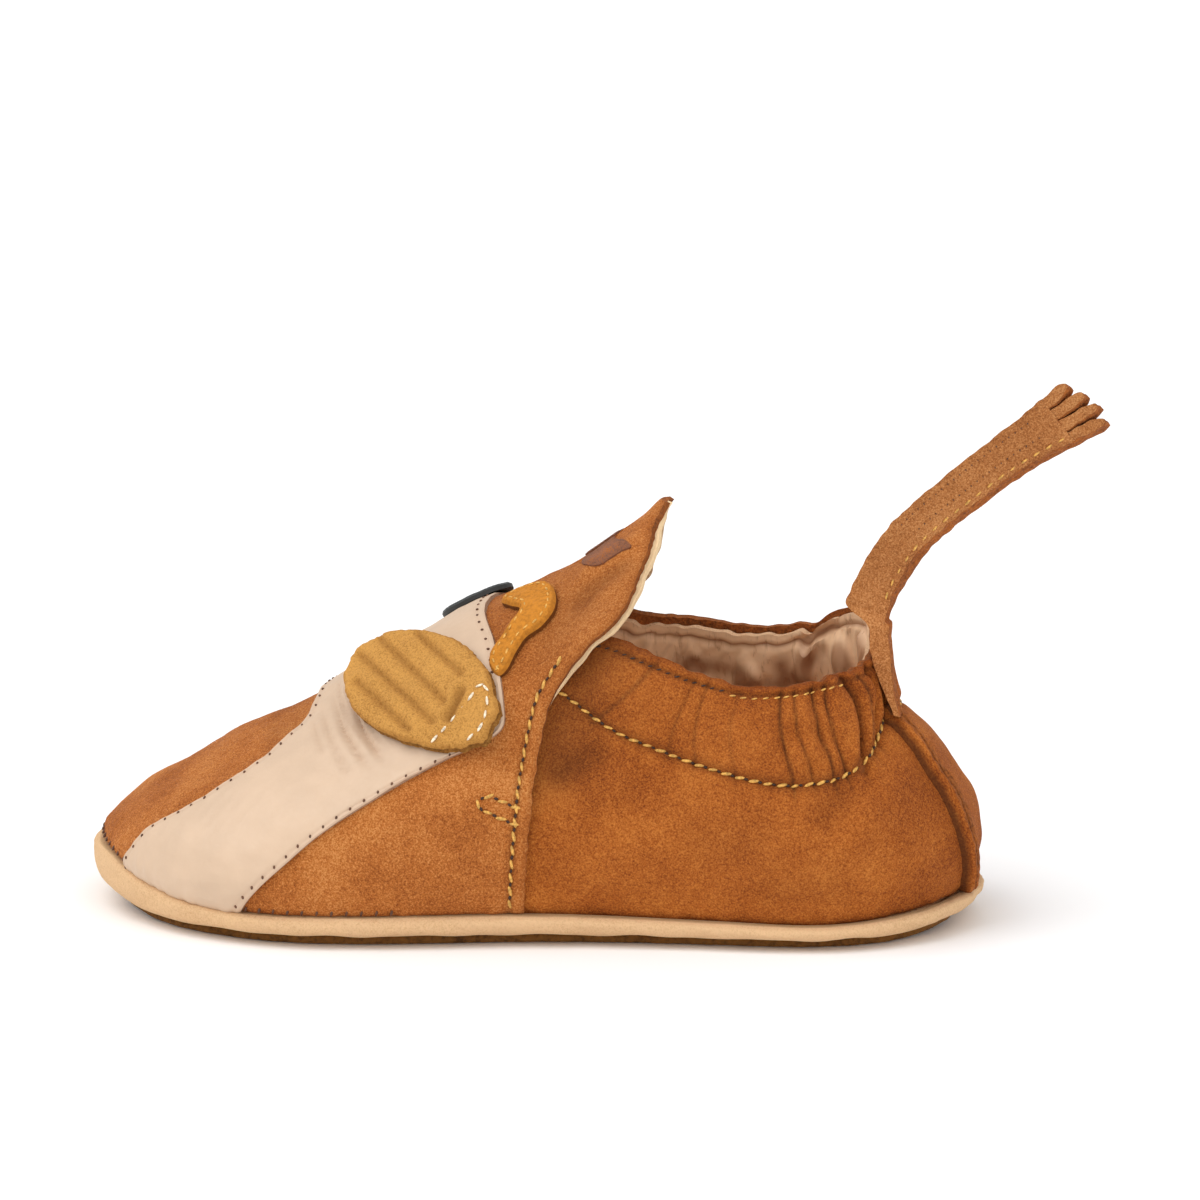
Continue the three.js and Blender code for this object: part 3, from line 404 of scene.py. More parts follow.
class Table:
    """A table whose columns are read by smooth curves through its rows, by the first column."""

    def __init__(self, columns, rows):
        data = np.array(rows, float)
        self.key = data[:, 0]
        self.values = {name: data[:, i] for i, name in enumerate(columns)}

    def read(self, column, at):
        key, value = self.key, self.values[column]
        at = np.asarray(at, float)
        last = len(key) - 1
        before = np.maximum(np.arange(last + 1) - 1, 0)
        after = np.minimum(np.arange(last + 1) + 1, last)
        slope = (value[after] - value[before]) / (key[after] - key[before])
        i = np.clip(np.searchsorted(key, at) - 1, 0, last - 1)
        span = key[i + 1] - key[i]
        t = np.clip((at - key[i]) / span, 0, 1)
        t2, t3 = t * t, t * t * t
        return (
            (2 * t3 - 3 * t2 + 1) * value[i]
            + (t3 - 2 * t2 + t) * span * slope[i]
            + (3 * t2 - 2 * t3) * value[i + 1]
            + (t3 - t2) * span * slope[i + 1]
        )


SEAM = Table(("along", "rise"), SEAM_LINE)
RIM = Table(("along", "outer", "inner"), RIM_LINE)
CASING = Table(("around", "rise"), CASING_LINE)
FREE = Table(("rise", "strip", "lift"), FREE_LINE)
OVERLAY = Table(("rise", "front", "rear"), OVERLAY_EDGES)
BACK_SEAM = Table(("rise", "aside"), BACK_SEAM_LINE)
TAIL = Table(("rise", "reach", "width"), TAIL_LINE)


class Last:
    """The foot form that the upper is shaped over, read by a share around it and a height.

    The share runs from -1 at the back over the outer side to 0 on the ridge and over the inner side to 1.
    """

    height_steps = 360
    around_steps = 1601

    def __init__(self, sizes):
        self.sizes = s = sizes
        self.half = s.sole_length / 2
        rows = [(r[0] * s.instep_height, *r[1:]) for r in LAST_LEVELS]
        rows += [(mix(s.instep_height, s.flap_height, r[0]), *r[1:]) for r in FLAP_LEVELS]
        self.levels = Table(LEVEL_COLUMNS, rows)
        self.top = s.flap_height * 1.04
        self.grid = np.empty((self.height_steps, self.around_steps, 2))
        shares = np.abs(np.linspace(-1, 1, self.around_steps))
        middle = self.around_steps // 2
        stations = np.linspace(0, 3, 211)
        self.length = {-1: [], 1: []}
        for row, z in enumerate(np.linspace(0, self.top, self.height_steps)):
            for side, part in ((-1, slice(0, middle + 1)), (1, slice(middle, None))):
                outline = self.outline(side, z, stations)
                lengths = np.concatenate([[0], np.cumsum(np.linalg.norm(np.diff(outline, axis=0), axis=1))])
                self.length[side].append(lengths[-1])
                for axis in (0, 1):
                    self.grid[row, part, axis] = np.interp(
                        shares[part] * lengths[-1], lengths, outline[:, axis]
                    )

    def outline(self, side, z, station):
        """One side of the outline at a height, from the toe at station 0 to the back at station 3."""
        s = self.sizes
        z, station = np.broadcast_arrays(np.asarray(z, float), np.asarray(station, float))
        toe, ball, heel, back = (self.levels.read(c, z) * self.half for c in ("toe", "ball", "heel", "back"))
        low = 1 - smooth(z / (ARCH_RISE * s.instep_height))
        ball_half = self.levels.read("ball_share", z) * s.ball_width / 2 * (1 - 0.02 * side)
        arch = s.arch_inset * low if side > 0 else 0
        waist_half = self.levels.read("waist_share", z) * s.waist_width / 2 - arch
        heel_half = self.levels.read("heel_share", z) * s.heel_width / 2
        front = np.clip(station, 0, 1) * np.pi / 2
        t = np.clip(station - 1, 0, 1)
        rear = (3 - np.clip(station, 2, 3)) * np.pi / 2
        x_front = ball - (ball - toe) * np.maximum(np.cos(front), 0) ** (2 / TOE_FULLNESS)
        x_rear = heel + (back - heel) * np.maximum(np.cos(rear), 0) ** (2 / HEEL_FULLNESS)
        half_front = ball_half * np.sin(front) ** (2 / TOE_FULLNESS)
        half_rear = heel_half * np.sin(rear) ** (2 / HEEL_FULLNESS)
        half_middle = mix(ball_half, heel_half, smooth(t))
        half_middle = half_middle + (waist_half - (ball_half + heel_half) / 2) * np.sin(np.pi * t) ** 2
        x = np.where(station < 1, x_front, np.where(station < 2, mix(ball, heel, t), x_rear))
        half = np.where(station < 1, half_front, np.where(station < 2, half_middle, half_rear))
        towards_toe = np.maximum(0, (ball - x) / (ball - toe))
        lean = s.toe_lean * (1 - np.minimum(z / s.instep_height, 1)) * towards_toe**1.6
        return np.stack([x, side * half + lean], axis=-1)

    def point(self, around, z):
        around, z = np.broadcast_arrays(np.asarray(around, float), np.asarray(z, float))
        around = np.where(around > 1, around - 2, np.where(around < -1, around + 2, around))
        a = (around + 1) / 2 * (self.around_steps - 1)
        h = np.clip(z / self.top, 0, 1) * (self.height_steps - 1)
        ai = np.clip(a.astype(int), 0, self.around_steps - 2)
        hi = np.clip(h.astype(int), 0, self.height_steps - 2)
        at, ht = (a - ai)[..., None], (h - hi)[..., None]
        low = mix(self.grid[hi, ai], self.grid[hi, ai + 1], at)
        high = mix(self.grid[hi + 1, ai], self.grid[hi + 1, ai + 1], at)
        return np.concatenate([mix(low, high, ht), z[..., None]], axis=-1)

    def normal(self, around, z):
        step_around, step_up = 0.012, 0.6 * MM
        along = self.point(around + step_around, z) - self.point(around - step_around, z)
        up = self.point(around, z + step_up) - self.point(around, z - step_up)
        out = np.cross(up, along)
        return out / np.linalg.norm(out, axis=-1, keepdims=True)

    def skin(self, around, z, outside):
        """Point at a distance outside the last."""
        return self.point(around, z) + self.normal(around, z) * np.asarray(outside)[..., None]

    def around_at(self, side, z, x):
        """Share around where a side crosses a place along the shoe."""
        z, x = np.broadcast_arrays(np.asarray(z, float), np.asarray(x, float))
        low, high = np.zeros(x.shape), np.ones(x.shape)
        for _ in range(26):
            middle = (low + high) / 2
            ahead = self.point(side * middle, z)[..., 0] < x
            low, high = np.where(ahead, middle, low), np.where(ahead, high, middle)
        return side * (low + high) / 2

    def half_round(self, z):
        """Length of the outer side's outline at a height."""
        at = np.clip(np.asarray(z) / self.top, 0, 1) * (self.height_steps - 1)
        return np.interp(at, np.arange(self.height_steps), self.length[-1])

    def beside_back(self, z, aside):
        """Share around of a place beside the middle of the back, on the outer side."""
        return -1 + aside / self.half_round(z)

    def height_on(self, line, around, start):
        """Height at which a line given in space crosses a share around."""
        z = np.full(np.shape(around), float(start))
        for _ in range(40):
            z = z + 0.5 * (line(self.point(around, z)) - z)
        return z

    def seam(self, x):
        return self.sizes.toe_seam_height * SEAM.read("rise", x / self.half)

    def spring(self, x):
        s = self.sizes
        toe = np.maximum(0, (-x / self.half - TOE_RISE_START) / (1 - TOE_RISE_START))
        heel = np.maximum(0, (x / self.half - HEEL_RISE_START) / (1 - HEEL_RISE_START))
        return s.toe_spring * toe**2 + s.heel_spring * heel**2

    def foot(self, around):
        return self.height_on(lambda p: self.seam(p[..., 0]), around, self.seam(0.0))

    def rim_line(self, p):
        inward = smooth(0.5 + p[..., 1] / (RIM_BLEND * self.sizes.heel_width))
        along = p[..., 0] / self.half
        return self.sizes.collar_height * mix(RIM.read("outer", along), RIM.read("inner", along), inward)

    def rim(self, around):
        return self.height_on(self.rim_line, around, self.sizes.collar_height)

    def vamp_edge(self, side, z):
        """Where the vamp's rear edge crosses a height."""
        s = self.sizes
        share = np.clip((z - SKEW_START * s.flap_height) / ((1 - SKEW_START) * s.flap_height), 0, 1)
        skew = np.where(np.asarray(side) > 0, s.flap_skew * np.sin(np.pi * share), 0)
        return self.levels.read("vamp", z) * self.half - skew

    def crease(self, rows, points):
        """Height of the soft creases of a table over points, as seen from the side."""
        table = [dict(zip(CREASE_COLUMNS, row)) for row in rows]
        flat = points[..., (0, 2)]
        total = np.zeros(flat.shape[:-1])
        for row in table:
            a = np.array([row["along_a"] * self.half, row["rise_a"] * self.sizes.instep_height])
            b = np.array([row["along_b"] * self.half, row["rise_b"] * self.sizes.instep_height])
            length = np.linalg.norm(b - a)
            unit = (b - a) / length
            along = (flat - a) @ unit
            across = (flat - a) @ np.array([-unit[1], unit[0]])
            fade = smooth(along / (0.3 * length)) * smooth((length - along) / (0.3 * length))
            total -= row["depth"] * MM * fade * mound(across, row["width"] * MM)
        return total

    # The quarter's leather, the vamp's leather and what lies on it

    def casing_seam(self, around):
        return self.sizes.collar_height * CASING.read("rise", np.abs(around))

    def casing_share(self, around, z):
        """0 at the rim and 1 at the casing seam, for a place on the quarter, and the rim's height there."""
        rim = self.rim(around)
        return (rim - z) / (rim - self.casing_seam(around)), rim

    def behind_vamp(self, around, z):
        side = np.where(around < 0, -1, 1)
        x = self.point(around, z)[..., 0]
        return smooth((x - self.vamp_edge(side, z)) / self.sizes.free_strip)

    def quarter_relief(self, around, z):
        """Height of the quarter's outer face over the last, and how much painted shade each place gets: in
        gathers, grooves and creases, and the flap's shadow.
        """
        s = self.sizes
        p = self.point(around, z)
        x = p[..., 0] / self.half
        share, rim = self.casing_share(around, z)
        below_rim = rim - z
        behind = self.behind_vamp(around, z)
        inside = smooth(share / 0.12) * smooth((1 - share) / 0.12)
        flat_back = 1 - 0.65 * smooth((np.abs(around) - 0.86) / 0.07)
        relief = s.casing_puff * np.sin(np.pi * np.clip(share, 0, 1)) ** 0.7 * behind * flat_back
        fold = np.zeros(x.shape)
        t = np.clip(share, 0, 1)
        for side, rows in ((-1, OUTER_GATHERS), (1, INNER_GATHERS)):
            here = smooth(0.5 + side * p[..., 1] / (2 * MM))
            for row in rows:
                g = dict(zip(GATHER_COLUMNS, row))
                top, half, low = (1 - t) * (1 - 2 * t), 4 * t * (1 - t), t * (2 * t - 1)
                line = top * g["rim"] + half * g["middle"] + low * g["foot"]
                across = (np.abs(around) - line) * self.half_round(z)
                reach = here * smooth((1.3 - share) / 0.45) * smooth(share / 0.15 + 0.25)
                cusp = np.exp(-np.abs(across) / (0.4 * g["width"] * MM))
                relief -= g["depth"] * MM * (0.6 * mound(across, g["width"] * MM) + 0.7 * cusp) * reach
                # Each gather's valley gets painted shade.
                fold += min(1, 2 * g["depth"]) * mound(across, 0.32 * g["width"] * MM) * reach
                beside = mound(across - 1.9 * g["width"] * MM, 1.2 * g["width"] * MM)
                beside += mound(across + 1.9 * g["width"] * MM, 1.2 * g["width"] * MM)
                relief += 0.35 * g["depth"] * MM * beside * reach
        back = smooth((np.abs(around) - 0.72) / 0.06)
        relief += 0.3 * MM * ripple(p * (1, 1, 0.3), 4 * MM, 5) * back * inside
        relief += 0.1 * MM * ripple(p * (1, 1, 0.25), 3.2 * MM, 3) * inside * behind
        # The casing seam's trough gets painted shade.
        seam = mound((share - 1) * s.casing_depth, 0.75 * MM) * behind
        relief -= 0.6 * MM * seam
        relief += 0.7 * MM * mound((share - 1.45) * s.casing_depth, 4 * MM) * behind * back
        # The groove under the rim gets painted shade.
        roll = mound(below_rim - 1.25 * MM, 0.32 * MM) * behind
        lip = 0.25 * MM * mound(below_rim - 0.45 * MM, 0.45 * MM)
        relief += (lip - 0.35 * MM * mound(below_rim - 1.25 * MM, 0.4 * MM)) * behind
        # Painted shadow of the lifted flap on the quarter, just behind the vamp's edge.
        behind_edge = p[..., 0] - self.vamp_edge(-1, z)
        flap_shadow = smooth((z / s.instep_height - 0.4) / 0.15) * mound(behind_edge - 2 * MM, 6 * MM)
        shade = 0.55 * flap_shadow
        creases = self.crease(QUARTER_CREASES, p)
        relief += creases
        # The creases' dents get painted shade.
        shade = shade + 0.2 * np.clip(-creases / (0.8 * MM), 0, 1)
        relief += 0.22 * MM * ripple(p, 17 * MM, 11) * smooth((z - self.foot(around)) / (6 * MM))
        relief += 0.05 * MM * ripple(p, 4.5 * MM, 12)
        above_foot = z - self.foot(around)
        relief -= 0.75 * MM * np.exp(-above_foot / (0.9 * MM))
        relief += 0.1 * MM * ripple(p, 2.6 * MM, 13) * mound(above_foot, 3 * MM)
        return relief, np.clip(fold + 0.45 * seam + 0.6 * roll + shade, 0, 1)

    def vamp_free(self, side, around, z):
        s = self.sizes
        from_edge = self.vamp_edge(side, z) - self.point(around, z)[..., 0]
        strip = s.free_strip * FREE.read("strip", z / s.flap_height)
        free = smooth(1 - from_edge / strip)
        return s.flap_lift * FREE.read("lift", z / s.flap_height) * free, from_edge

    def vamp_relief(self, side, around, z):
        """Height of the vamp's outer face over the last, and how much painted shade each place gets: in its
        pressed stitch row, its creases and over the flap's middle.
        """
        s = self.sizes
        lift, from_edge = self.vamp_free(side, around, z)
        p = self.point(around, z)
        above_foot = z - self.foot(around)
        creases = self.crease(VAMP_CREASES, p)
        relief = s.vamp_step + lift + creases
        # The pressed stitch row's groove gets painted shade.
        row = mound(from_edge - VAMP_ROW_INSET, 0.5 * MM) * smooth((0.83 - z / s.instep_height) / 0.05)
        relief -= 0.28 * MM * row
        relief -= 0.25 * MM * mound(from_edge, 0.5 * MM)
        relief += 0.2 * MM * ripple(p, 15 * MM, 21) * smooth(above_foot / (5 * MM))
        relief += 0.04 * MM * ripple(p, 4 * MM, 22)
        relief -= 1.1 * MM * np.exp(-above_foot / (0.9 * MM))
        relief += 0.1 * MM * ripple(p, 2.6 * MM, 23) * mound(above_foot, 3 * MM)
        rise = z / s.instep_height
        # Painted shade over the flap's middle and in the creases' dents.
        shaded = 0.14 * smooth((rise - 0.72) / 0.15) * smooth((1.16 - rise) / 0.12)
        shaded = shaded + 0.35 * np.clip(-creases / (0.6 * MM), 0, 1)
        return relief, np.clip(0.5 * row + shaded, 0, 1)

    def on_vamp(self, side, around, z, outside):
        relief, _ = self.vamp_relief(side, around, z)
        return self.skin(around, z, relief + outside)


class Seat:
    """A flat frame laid on the vamp: back towards the heel, up the vamp, and out."""

    def __init__(self, last, side, along, rise):
        self.last, self.side = last, side
        self.z = rise * last.sizes.instep_height
        self.around = float(last.around_at(side, self.z, along * last.half))
        self.origin = last.point(self.around, self.z)
        self.out = last.normal(self.around, self.z)
        back = np.array([1.0, 0, 0]) - self.out * self.out[0]
        self.back = back / np.linalg.norm(back)
        up = np.cross(self.out, self.back)
        self.up = up if up[2] > 0 else -up

    def below(self, flat, outside):
        """Share around and height of the layer that lies under flat places of the frame."""
        last = self.last
        around, z = np.full(len(flat), self.around), np.full(len(flat), self.z)
        step_around, step_up = 0.002, 0.1 * MM

        def seen(a, h):
            rel = last.skin(a, h, np.full(len(flat), outside)) - self.origin
            return np.stack([rel @ self.back, rel @ self.up], axis=1)

        for _ in range(14):
            here = seen(around, z)
            da = (seen(around + step_around, z) - here) / step_around
            dz = (seen(around, z + step_up) - here) / step_up
            miss = flat - here
            det = da[:, 0] * dz[:, 1] - da[:, 1] * dz[:, 0]
            around = around + 0.7 * (miss[:, 0] * dz[:, 1] - miss[:, 1] * dz[:, 0]) / det
            z = z + 0.7 * (da[:, 0] * miss[:, 1] - da[:, 1] * miss[:, 0]) / det
        return around, z

    def at(self, flat, height):
        rise = np.asarray(height)[:, None] * self.out
        return self.origin + flat[:, :1] * self.back + flat[:, 1:2] * self.up + rise


def the_last(context):
    """The last for the scene's sizes, made once for each set of them."""
    sizes = context.scene.slipper_sizes
    key = tuple(getattr(sizes, name) for name in SlipperSizes.__annotations__)
    if key not in LASTS:
        LASTS[key] = Last(sizes)
    return LASTS[key]


# Meshes


def new_object(name, points, faces, materials, face_material=None, marks=None):
    """Mesh object from points, faces, materials and marks, which are values at the points, facing out."""
    points = np.asarray(points, float).reshape(-1, 3)
    mesh = bpy.data.meshes.new(name)
    mesh.from_pydata(points.tolist(), [], [list(map(int, f)) for f in faces])
    for material in materials:
        mesh.materials.append(material)
    if face_material is not None:
        mesh.polygons.foreach_set("material_index", np.asarray(face_material, np.int32))
    for mark, values in (marks or {}).items():
        layer = mesh.attributes.new(mark, "FLOAT", "POINT")
        layer.data.foreach_set("value", np.asarray(values, np.float32).ravel())
    mesh.polygons.foreach_set("use_smooth", np.ones(len(mesh.polygons), bool))
    obj = bpy.data.objects.new(name, mesh)
    bpy.context.scene.collection.objects.link(obj)
    corners = np.array([points[list(map(int, f))[:3]] for f in faces])
    if np.einsum("ij,ij->i", corners[:, 0], np.cross(corners[:, 1], corners[:, 2])).sum() < 0:
        mesh.flip_normals()
    mesh.set_sharp_from_angle(angle=SHARP_ANGLE)
    mesh.update()
    return obj


def finished(obj, slot, *nodes):
    """Puts a piece on the frame's body in the place of some of its nodes."""
    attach(obj, "root")
    if nodes:
        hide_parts(*nodes)
    return obj


def grid_faces(rows, columns, row_loop=False, column_loop=False, start=0):
    r = np.arange(rows if row_loop else rows - 1)
    c = np.arange(columns if column_loop else columns - 1)
    r, c = np.meshgrid(r, c, indexing="ij")
    at = lambda i, j: start + (i % rows) * columns + j % columns
    quads = np.stack([at(r, c), at(r, c + 1), at(r + 1, c + 1), at(r + 1, c)], axis=-1)
    return quads.reshape(-1, 4)


def ring_piece(name, rings, first_rows, materials, fold_shades, edges):
    """Closed wall through rings of points, its first rows of one material and the rest of another."""
    rings = np.array(rings)
    faces = grid_faces(*rings.shape[:2], True, True)
    kinds = (np.arange(len(faces)) // rings.shape[1] >= first_rows).astype(int)
    return new_object(
        name, rings, faces, materials, kinds, {"fold": np.array(fold_shades), "edge": np.array(edges)}
    )


def with_marks(fold, edge):
    """Marks of a sheet's two faces from those of one."""
    return {"fold": np.concatenate([fold.ravel()] * 2), "edge": np.concatenate([edge.ravel()] * 2)}


def sheet_shell(outer, inner):
    """Points, faces and each face's side number of a sheet between two open grids: 0 out, 1 in, 2 edges."""
    rows, columns = outer.shape[:2]
    count = rows * columns
    points = np.concatenate([outer.reshape(-1, 3), inner.reshape(-1, 3)])
    out, inn = grid_faces(rows, columns), grid_faces(rows, columns, start=count)[:, ::-1]
    index = np.arange(count).reshape(rows, columns)
    edge = np.concatenate([index[0], index[1:, -1], index[-1, -2::-1], index[-2:0:-1, 0]])
    ahead = np.roll(edge, -1)
    sides = np.stack([ahead, edge, edge + count, ahead + count], axis=-1)
    faces = np.concatenate([out, inn, sides])
    kinds = np.repeat([0, 1, 2], [len(out), len(inn), len(sides)])
    return points, faces, kinds


def evenly(points, spacing, closed=False):
    """Points about a spacing apart along a line through points."""
    points = np.asarray(points, float)
    if closed:
        points = np.concatenate([points, points[:1]])
    lengths = np.concatenate([[0], np.cumsum(np.linalg.norm(np.diff(points, axis=0), axis=1))])
    count = max(2, int(round(lengths[-1] / spacing)))
    at = np.linspace(0, lengths[-1], count + 1)
    found = np.stack([np.interp(at, lengths, points[:, i]) for i in range(points.shape[1])], axis=1)
    return found[:-1] if closed else found


def rounded(points, closed=True, steps=12):
    """Smooth curve through a few points."""
    points = np.asarray(points, float)
    count = len(points)
    found = []
    for i in range(count if closed else count - 1):
        pick = lambda k: points[(i + k) % count] if closed else points[min(max(i + k, 0), count - 1)]
        p0, p1, p2, p3 = pick(-1), pick(0), pick(1), pick(2)
        for t in np.arange(steps) / steps:
            found.append(
                0.5
                * (
                    2 * p1 + (p2 - p0) * t + (2 * p0 - 5 * p1 + 4 * p2 - p3) * t**2
                    + (3 * p1 - p0 - 3 * p2 + p3) * t**3
                )
            )
    if not closed:
        found.append(points[-1])
    return np.array(found)


def distance_to(points, line, closed=False):
    """Distance of flat points from a line through points."""
    a = np.asarray(line, float)
    b = np.roll(a, -1, axis=0) if closed else a[1:]
    a = a if closed else a[:-1]
    best = np.full(len(points), np.inf)
    for p, q in zip(a, b):
        d = q - p
        t = np.clip((points - p) @ d / max(d @ d, 1e-18), 0, 1)
        best = np.minimum(best, np.linalg.norm(points - p - t[:, None] * d, axis=1))
    return best


def within(points, outline):
    """True for each flat point inside a closed outline."""
    inside = np.zeros(len(points), bool)
    for p, q in zip(outline, np.roll(outline, -1, axis=0)):
        crosses = (p[1] > points[:, 1]) != (q[1] > points[:, 1])
        at = (q[0] - p[0]) * (points[:, 1] - p[1]) / (q[1] - p[1] + 1e-18) + p[0]
        inside ^= crosses & (points[:, 0] < at)
    return inside


def cut_piece(
    name, outline, place, thickness, materials, spacing=0.42 * MM, relief=None, shade=None, groove=0.0,
    roundness=0.35
):
    """A piece cut from leather along a flat outline: place puts flat points and heights into space.

    The top is rounded off at the edge, and the cut edge is a wall that may have a groove between two layers.
    """
    outline = evenly(outline, spacing, closed=True)
    low, high = outline.min(0), outline.max(0)
    xs, ys = np.meshgrid(np.arange(low[0], high[0], spacing), np.arange(low[1], high[1], spacing * 0.87))
    xs[1::2] += spacing / 2
    inner = np.stack([xs.ravel(), ys.ravel()], axis=1)
    inner = inner[within(inner, outline)]
    inner = inner[distance_to(inner, outline, closed=True) > 0.5 * spacing]
    flat = np.concatenate([outline, inner])
    count = len(outline)
    result = geometry.delaunay_2d_cdt(
        [Vector(p) for p in flat / MM], [], [list(range(count))], 1, 1e-5
    )
    verts = np.array([tuple(v) for v in result[0]]) * MM
    tris = np.array([f for f in result[2] if len(f) == 3])
    source = [ids[0] if ids else -1 for ids in result[3]]
    border = np.full(count, -1)
    for new, old in enumerate(source):
        if 0 <= old < count:
            border[old] = new
    border = border[border >= 0]
    edge_distance = distance_to(verts, outline, closed=True)
    edge_distance[border] = 0
    reach = roundness * thickness
    fall = np.sqrt(np.clip(1 - (1 - np.clip(edge_distance / reach, 0, 1)) ** 2, 0, 1))
    top = thickness * (1 - roundness * (1 - fall))
    if relief is not None:
        top = top + relief(verts) * smooth(edge_distance / (0.5 * MM))
    n = len(verts)
    walls = 6
    rows = [place(verts, top)]
    middle = np.mean(verts, axis=0)
    inward = middle - verts[border]
    inward /= np.linalg.norm(inward, axis=1, keepdims=True)
    for k in range(1, walls):
        t = k / walls
        dent = groove * mound(t - 0.5, 0.16)
        rows.append(place(verts[border] + inward * dent, top[border] * (1 - t)))
    bottom = place(verts, np.zeros(n))
    points = np.concatenate([*rows, bottom])
    faces = [list(t) for t in tris]
    wall_start = lambda k: n + (k - 1) * len(border)
    loops = [border] + [wall_start(k) + np.arange(len(border)) for k in range(1, walls)]
    last_row = n + (walls - 1) * len(border)
    loops.append(last_row + border)
    kinds = [0] * len(faces)
    for upper, lower in zip(loops[:-1], loops[1:]):
        for i in range(len(border)):
            j = (i + 1) % len(border)
            faces.append([upper[j], upper[i], lower[i], lower[j]])
            kinds.append(1)
    faces += [[last_row + t[0], last_row + t[2], last_row + t[1]] for t in tris]
    kinds += [0] * len(tris)
    edge = np.ones(len(points))
    edge[:n] = mound(edge_distance, 0.4 * MM)
    marks = {"edge": edge}
    if shade is not None:
        marks["fold"] = np.concatenate([shade(verts), np.zeros(len(points) - n)])
    return new_object(name, points, faces, materials, kinds if len(materials) > 1 else None, marks)


# Materials


def add_node(tree, kind, inputs=None, **settings):
    node = tree.nodes.new(kind)
    for key, value in settings.items():
        setattr(node, key, value)
    for key, value in (inputs or {}).items():
        if isinstance(value, bpy.types.NodeSocket):
            tree.links.new(value, node.inputs[key])
        else:
            node.inputs[key].default_value = value
    return node


def math_node(tree, operation, a, b=0.0, clamp=False):
    return add_node(tree, "ShaderNodeMath", {0: a, 1: b}, operation=operation, use_clamp=clamp).outputs[0]


def times(tree, a, b):
    return math_node(tree, "MULTIPLY", a, b)


def plus(tree, a, b):
    return math_node(tree, "ADD", a, b)


def mix_colour(tree, factor, a, b):
    return add_node(tree, "ShaderNodeMix", {0: factor, 6: a, 7: b}, data_type="RGBA").outputs[2]


def scaled(tree, value, low, high, to_low=0.0, to_high=1.0):
    inputs = {"Value": value, "From Min": low, "From Max": high, "To Min": to_low, "To Max": to_high}
    return add_node(tree, "ShaderNodeMapRange", inputs, clamp=True).outputs[0]


def noise(tree, vector, scale, detail=3.0, roughness=0.6):
    inputs = {"Vector": vector, "Scale": scale, "Detail": detail, "Roughness": roughness}
    return add_node(tree, "ShaderNodeTexNoise", inputs).outputs["Fac"]


def new_group(name, inputs, outputs):
    """Shader node group with named inputs and outputs, and its two end nodes."""
    group = bpy.data.node_groups.new(name, "ShaderNodeTree")
    for label, kind, default in inputs:
        socket = group.interface.new_socket(name=label, in_out="INPUT", socket_type=kind)
        if default is not None:
            socket.default_value = default
    for label, kind in outputs:
        group.interface.new_socket(name=label, in_out="OUTPUT", socket_type=kind)
    return group, group.nodes.new("NodeGroupInput").outputs, group.nodes.new("NodeGroupOutput").inputs


def nap_group():
    """Short nap of nubuck and suede: brushed light and dark patches over fine fibres."""
    colours = [(label, "NodeSocketColor", None) for label in ("Light", "Middle", "Dark")]
    values = [
        ("Vector", "NodeSocketVector", None),
        ("Fibre Scale", "NodeSocketFloat", 1500.0),
        ("Patch Scale", "NodeSocketFloat", 160.0),
        ("Contrast", "NodeSocketFloat", 1.0),
    ]
    group, given, out = new_group(
        "Nap", colours + values, [("Colour", "NodeSocketColor"), ("Height", "NodeSocketFloat")]
    )
    fibre = noise(group, given["Vector"], given["Fibre Scale"], 4.0, 0.72)
    clump = noise(group, given["Vector"], times(group, given["Fibre Scale"], 0.32), 3.0, 0.6)
    patch = noise(group, given["Vector"], given["Patch Scale"], 4.0, 0.6)
    broad = noise(group, given["Vector"], times(group, given["Patch Scale"], 0.42), 2.0, 0.5)
    pebble = add_node(
        group,
        "ShaderNodeTexVoronoi",
        {"Vector": given["Vector"], "Scale": times(group, given["Fibre Scale"], 0.4)},
        feature="F1",
    ).outputs["Distance"]
    total = times(group, scaled(group, fibre, 0.36, 0.64), 0.48)
    total = plus(group, total, times(group, scaled(group, clump, 0.32, 0.68), 0.08))
    total = plus(group, total, times(group, scaled(group, patch, 0.34, 0.66), 0.14))
    total = plus(group, total, times(group, scaled(group, broad, 0.36, 0.64), 0.15))
    total = plus(group, total, times(group, scaled(group, pebble, 0.8, 0.2), 0.08))
    centred = times(group, math_node(group, "SUBTRACT", total, 0.462), given["Contrast"])
    doubled = times(group, centred, 2.0)
    dark = math_node(group, "ADD", doubled, 1.0, clamp=True)
    light = math_node(group, "MAXIMUM", doubled, 0.0, clamp=True)
    low = mix_colour(group, dark, given["Dark"], given["Middle"])
    group.links.new(mix_colour(group, light, low, given["Light"]), out["Colour"])
    height = plus(group, fibre, times(group, clump, 0.8))
    height = math_node(group, "SUBTRACT", height, times(group, pebble, 0.5))
    group.links.new(height, out["Height"])
    return group


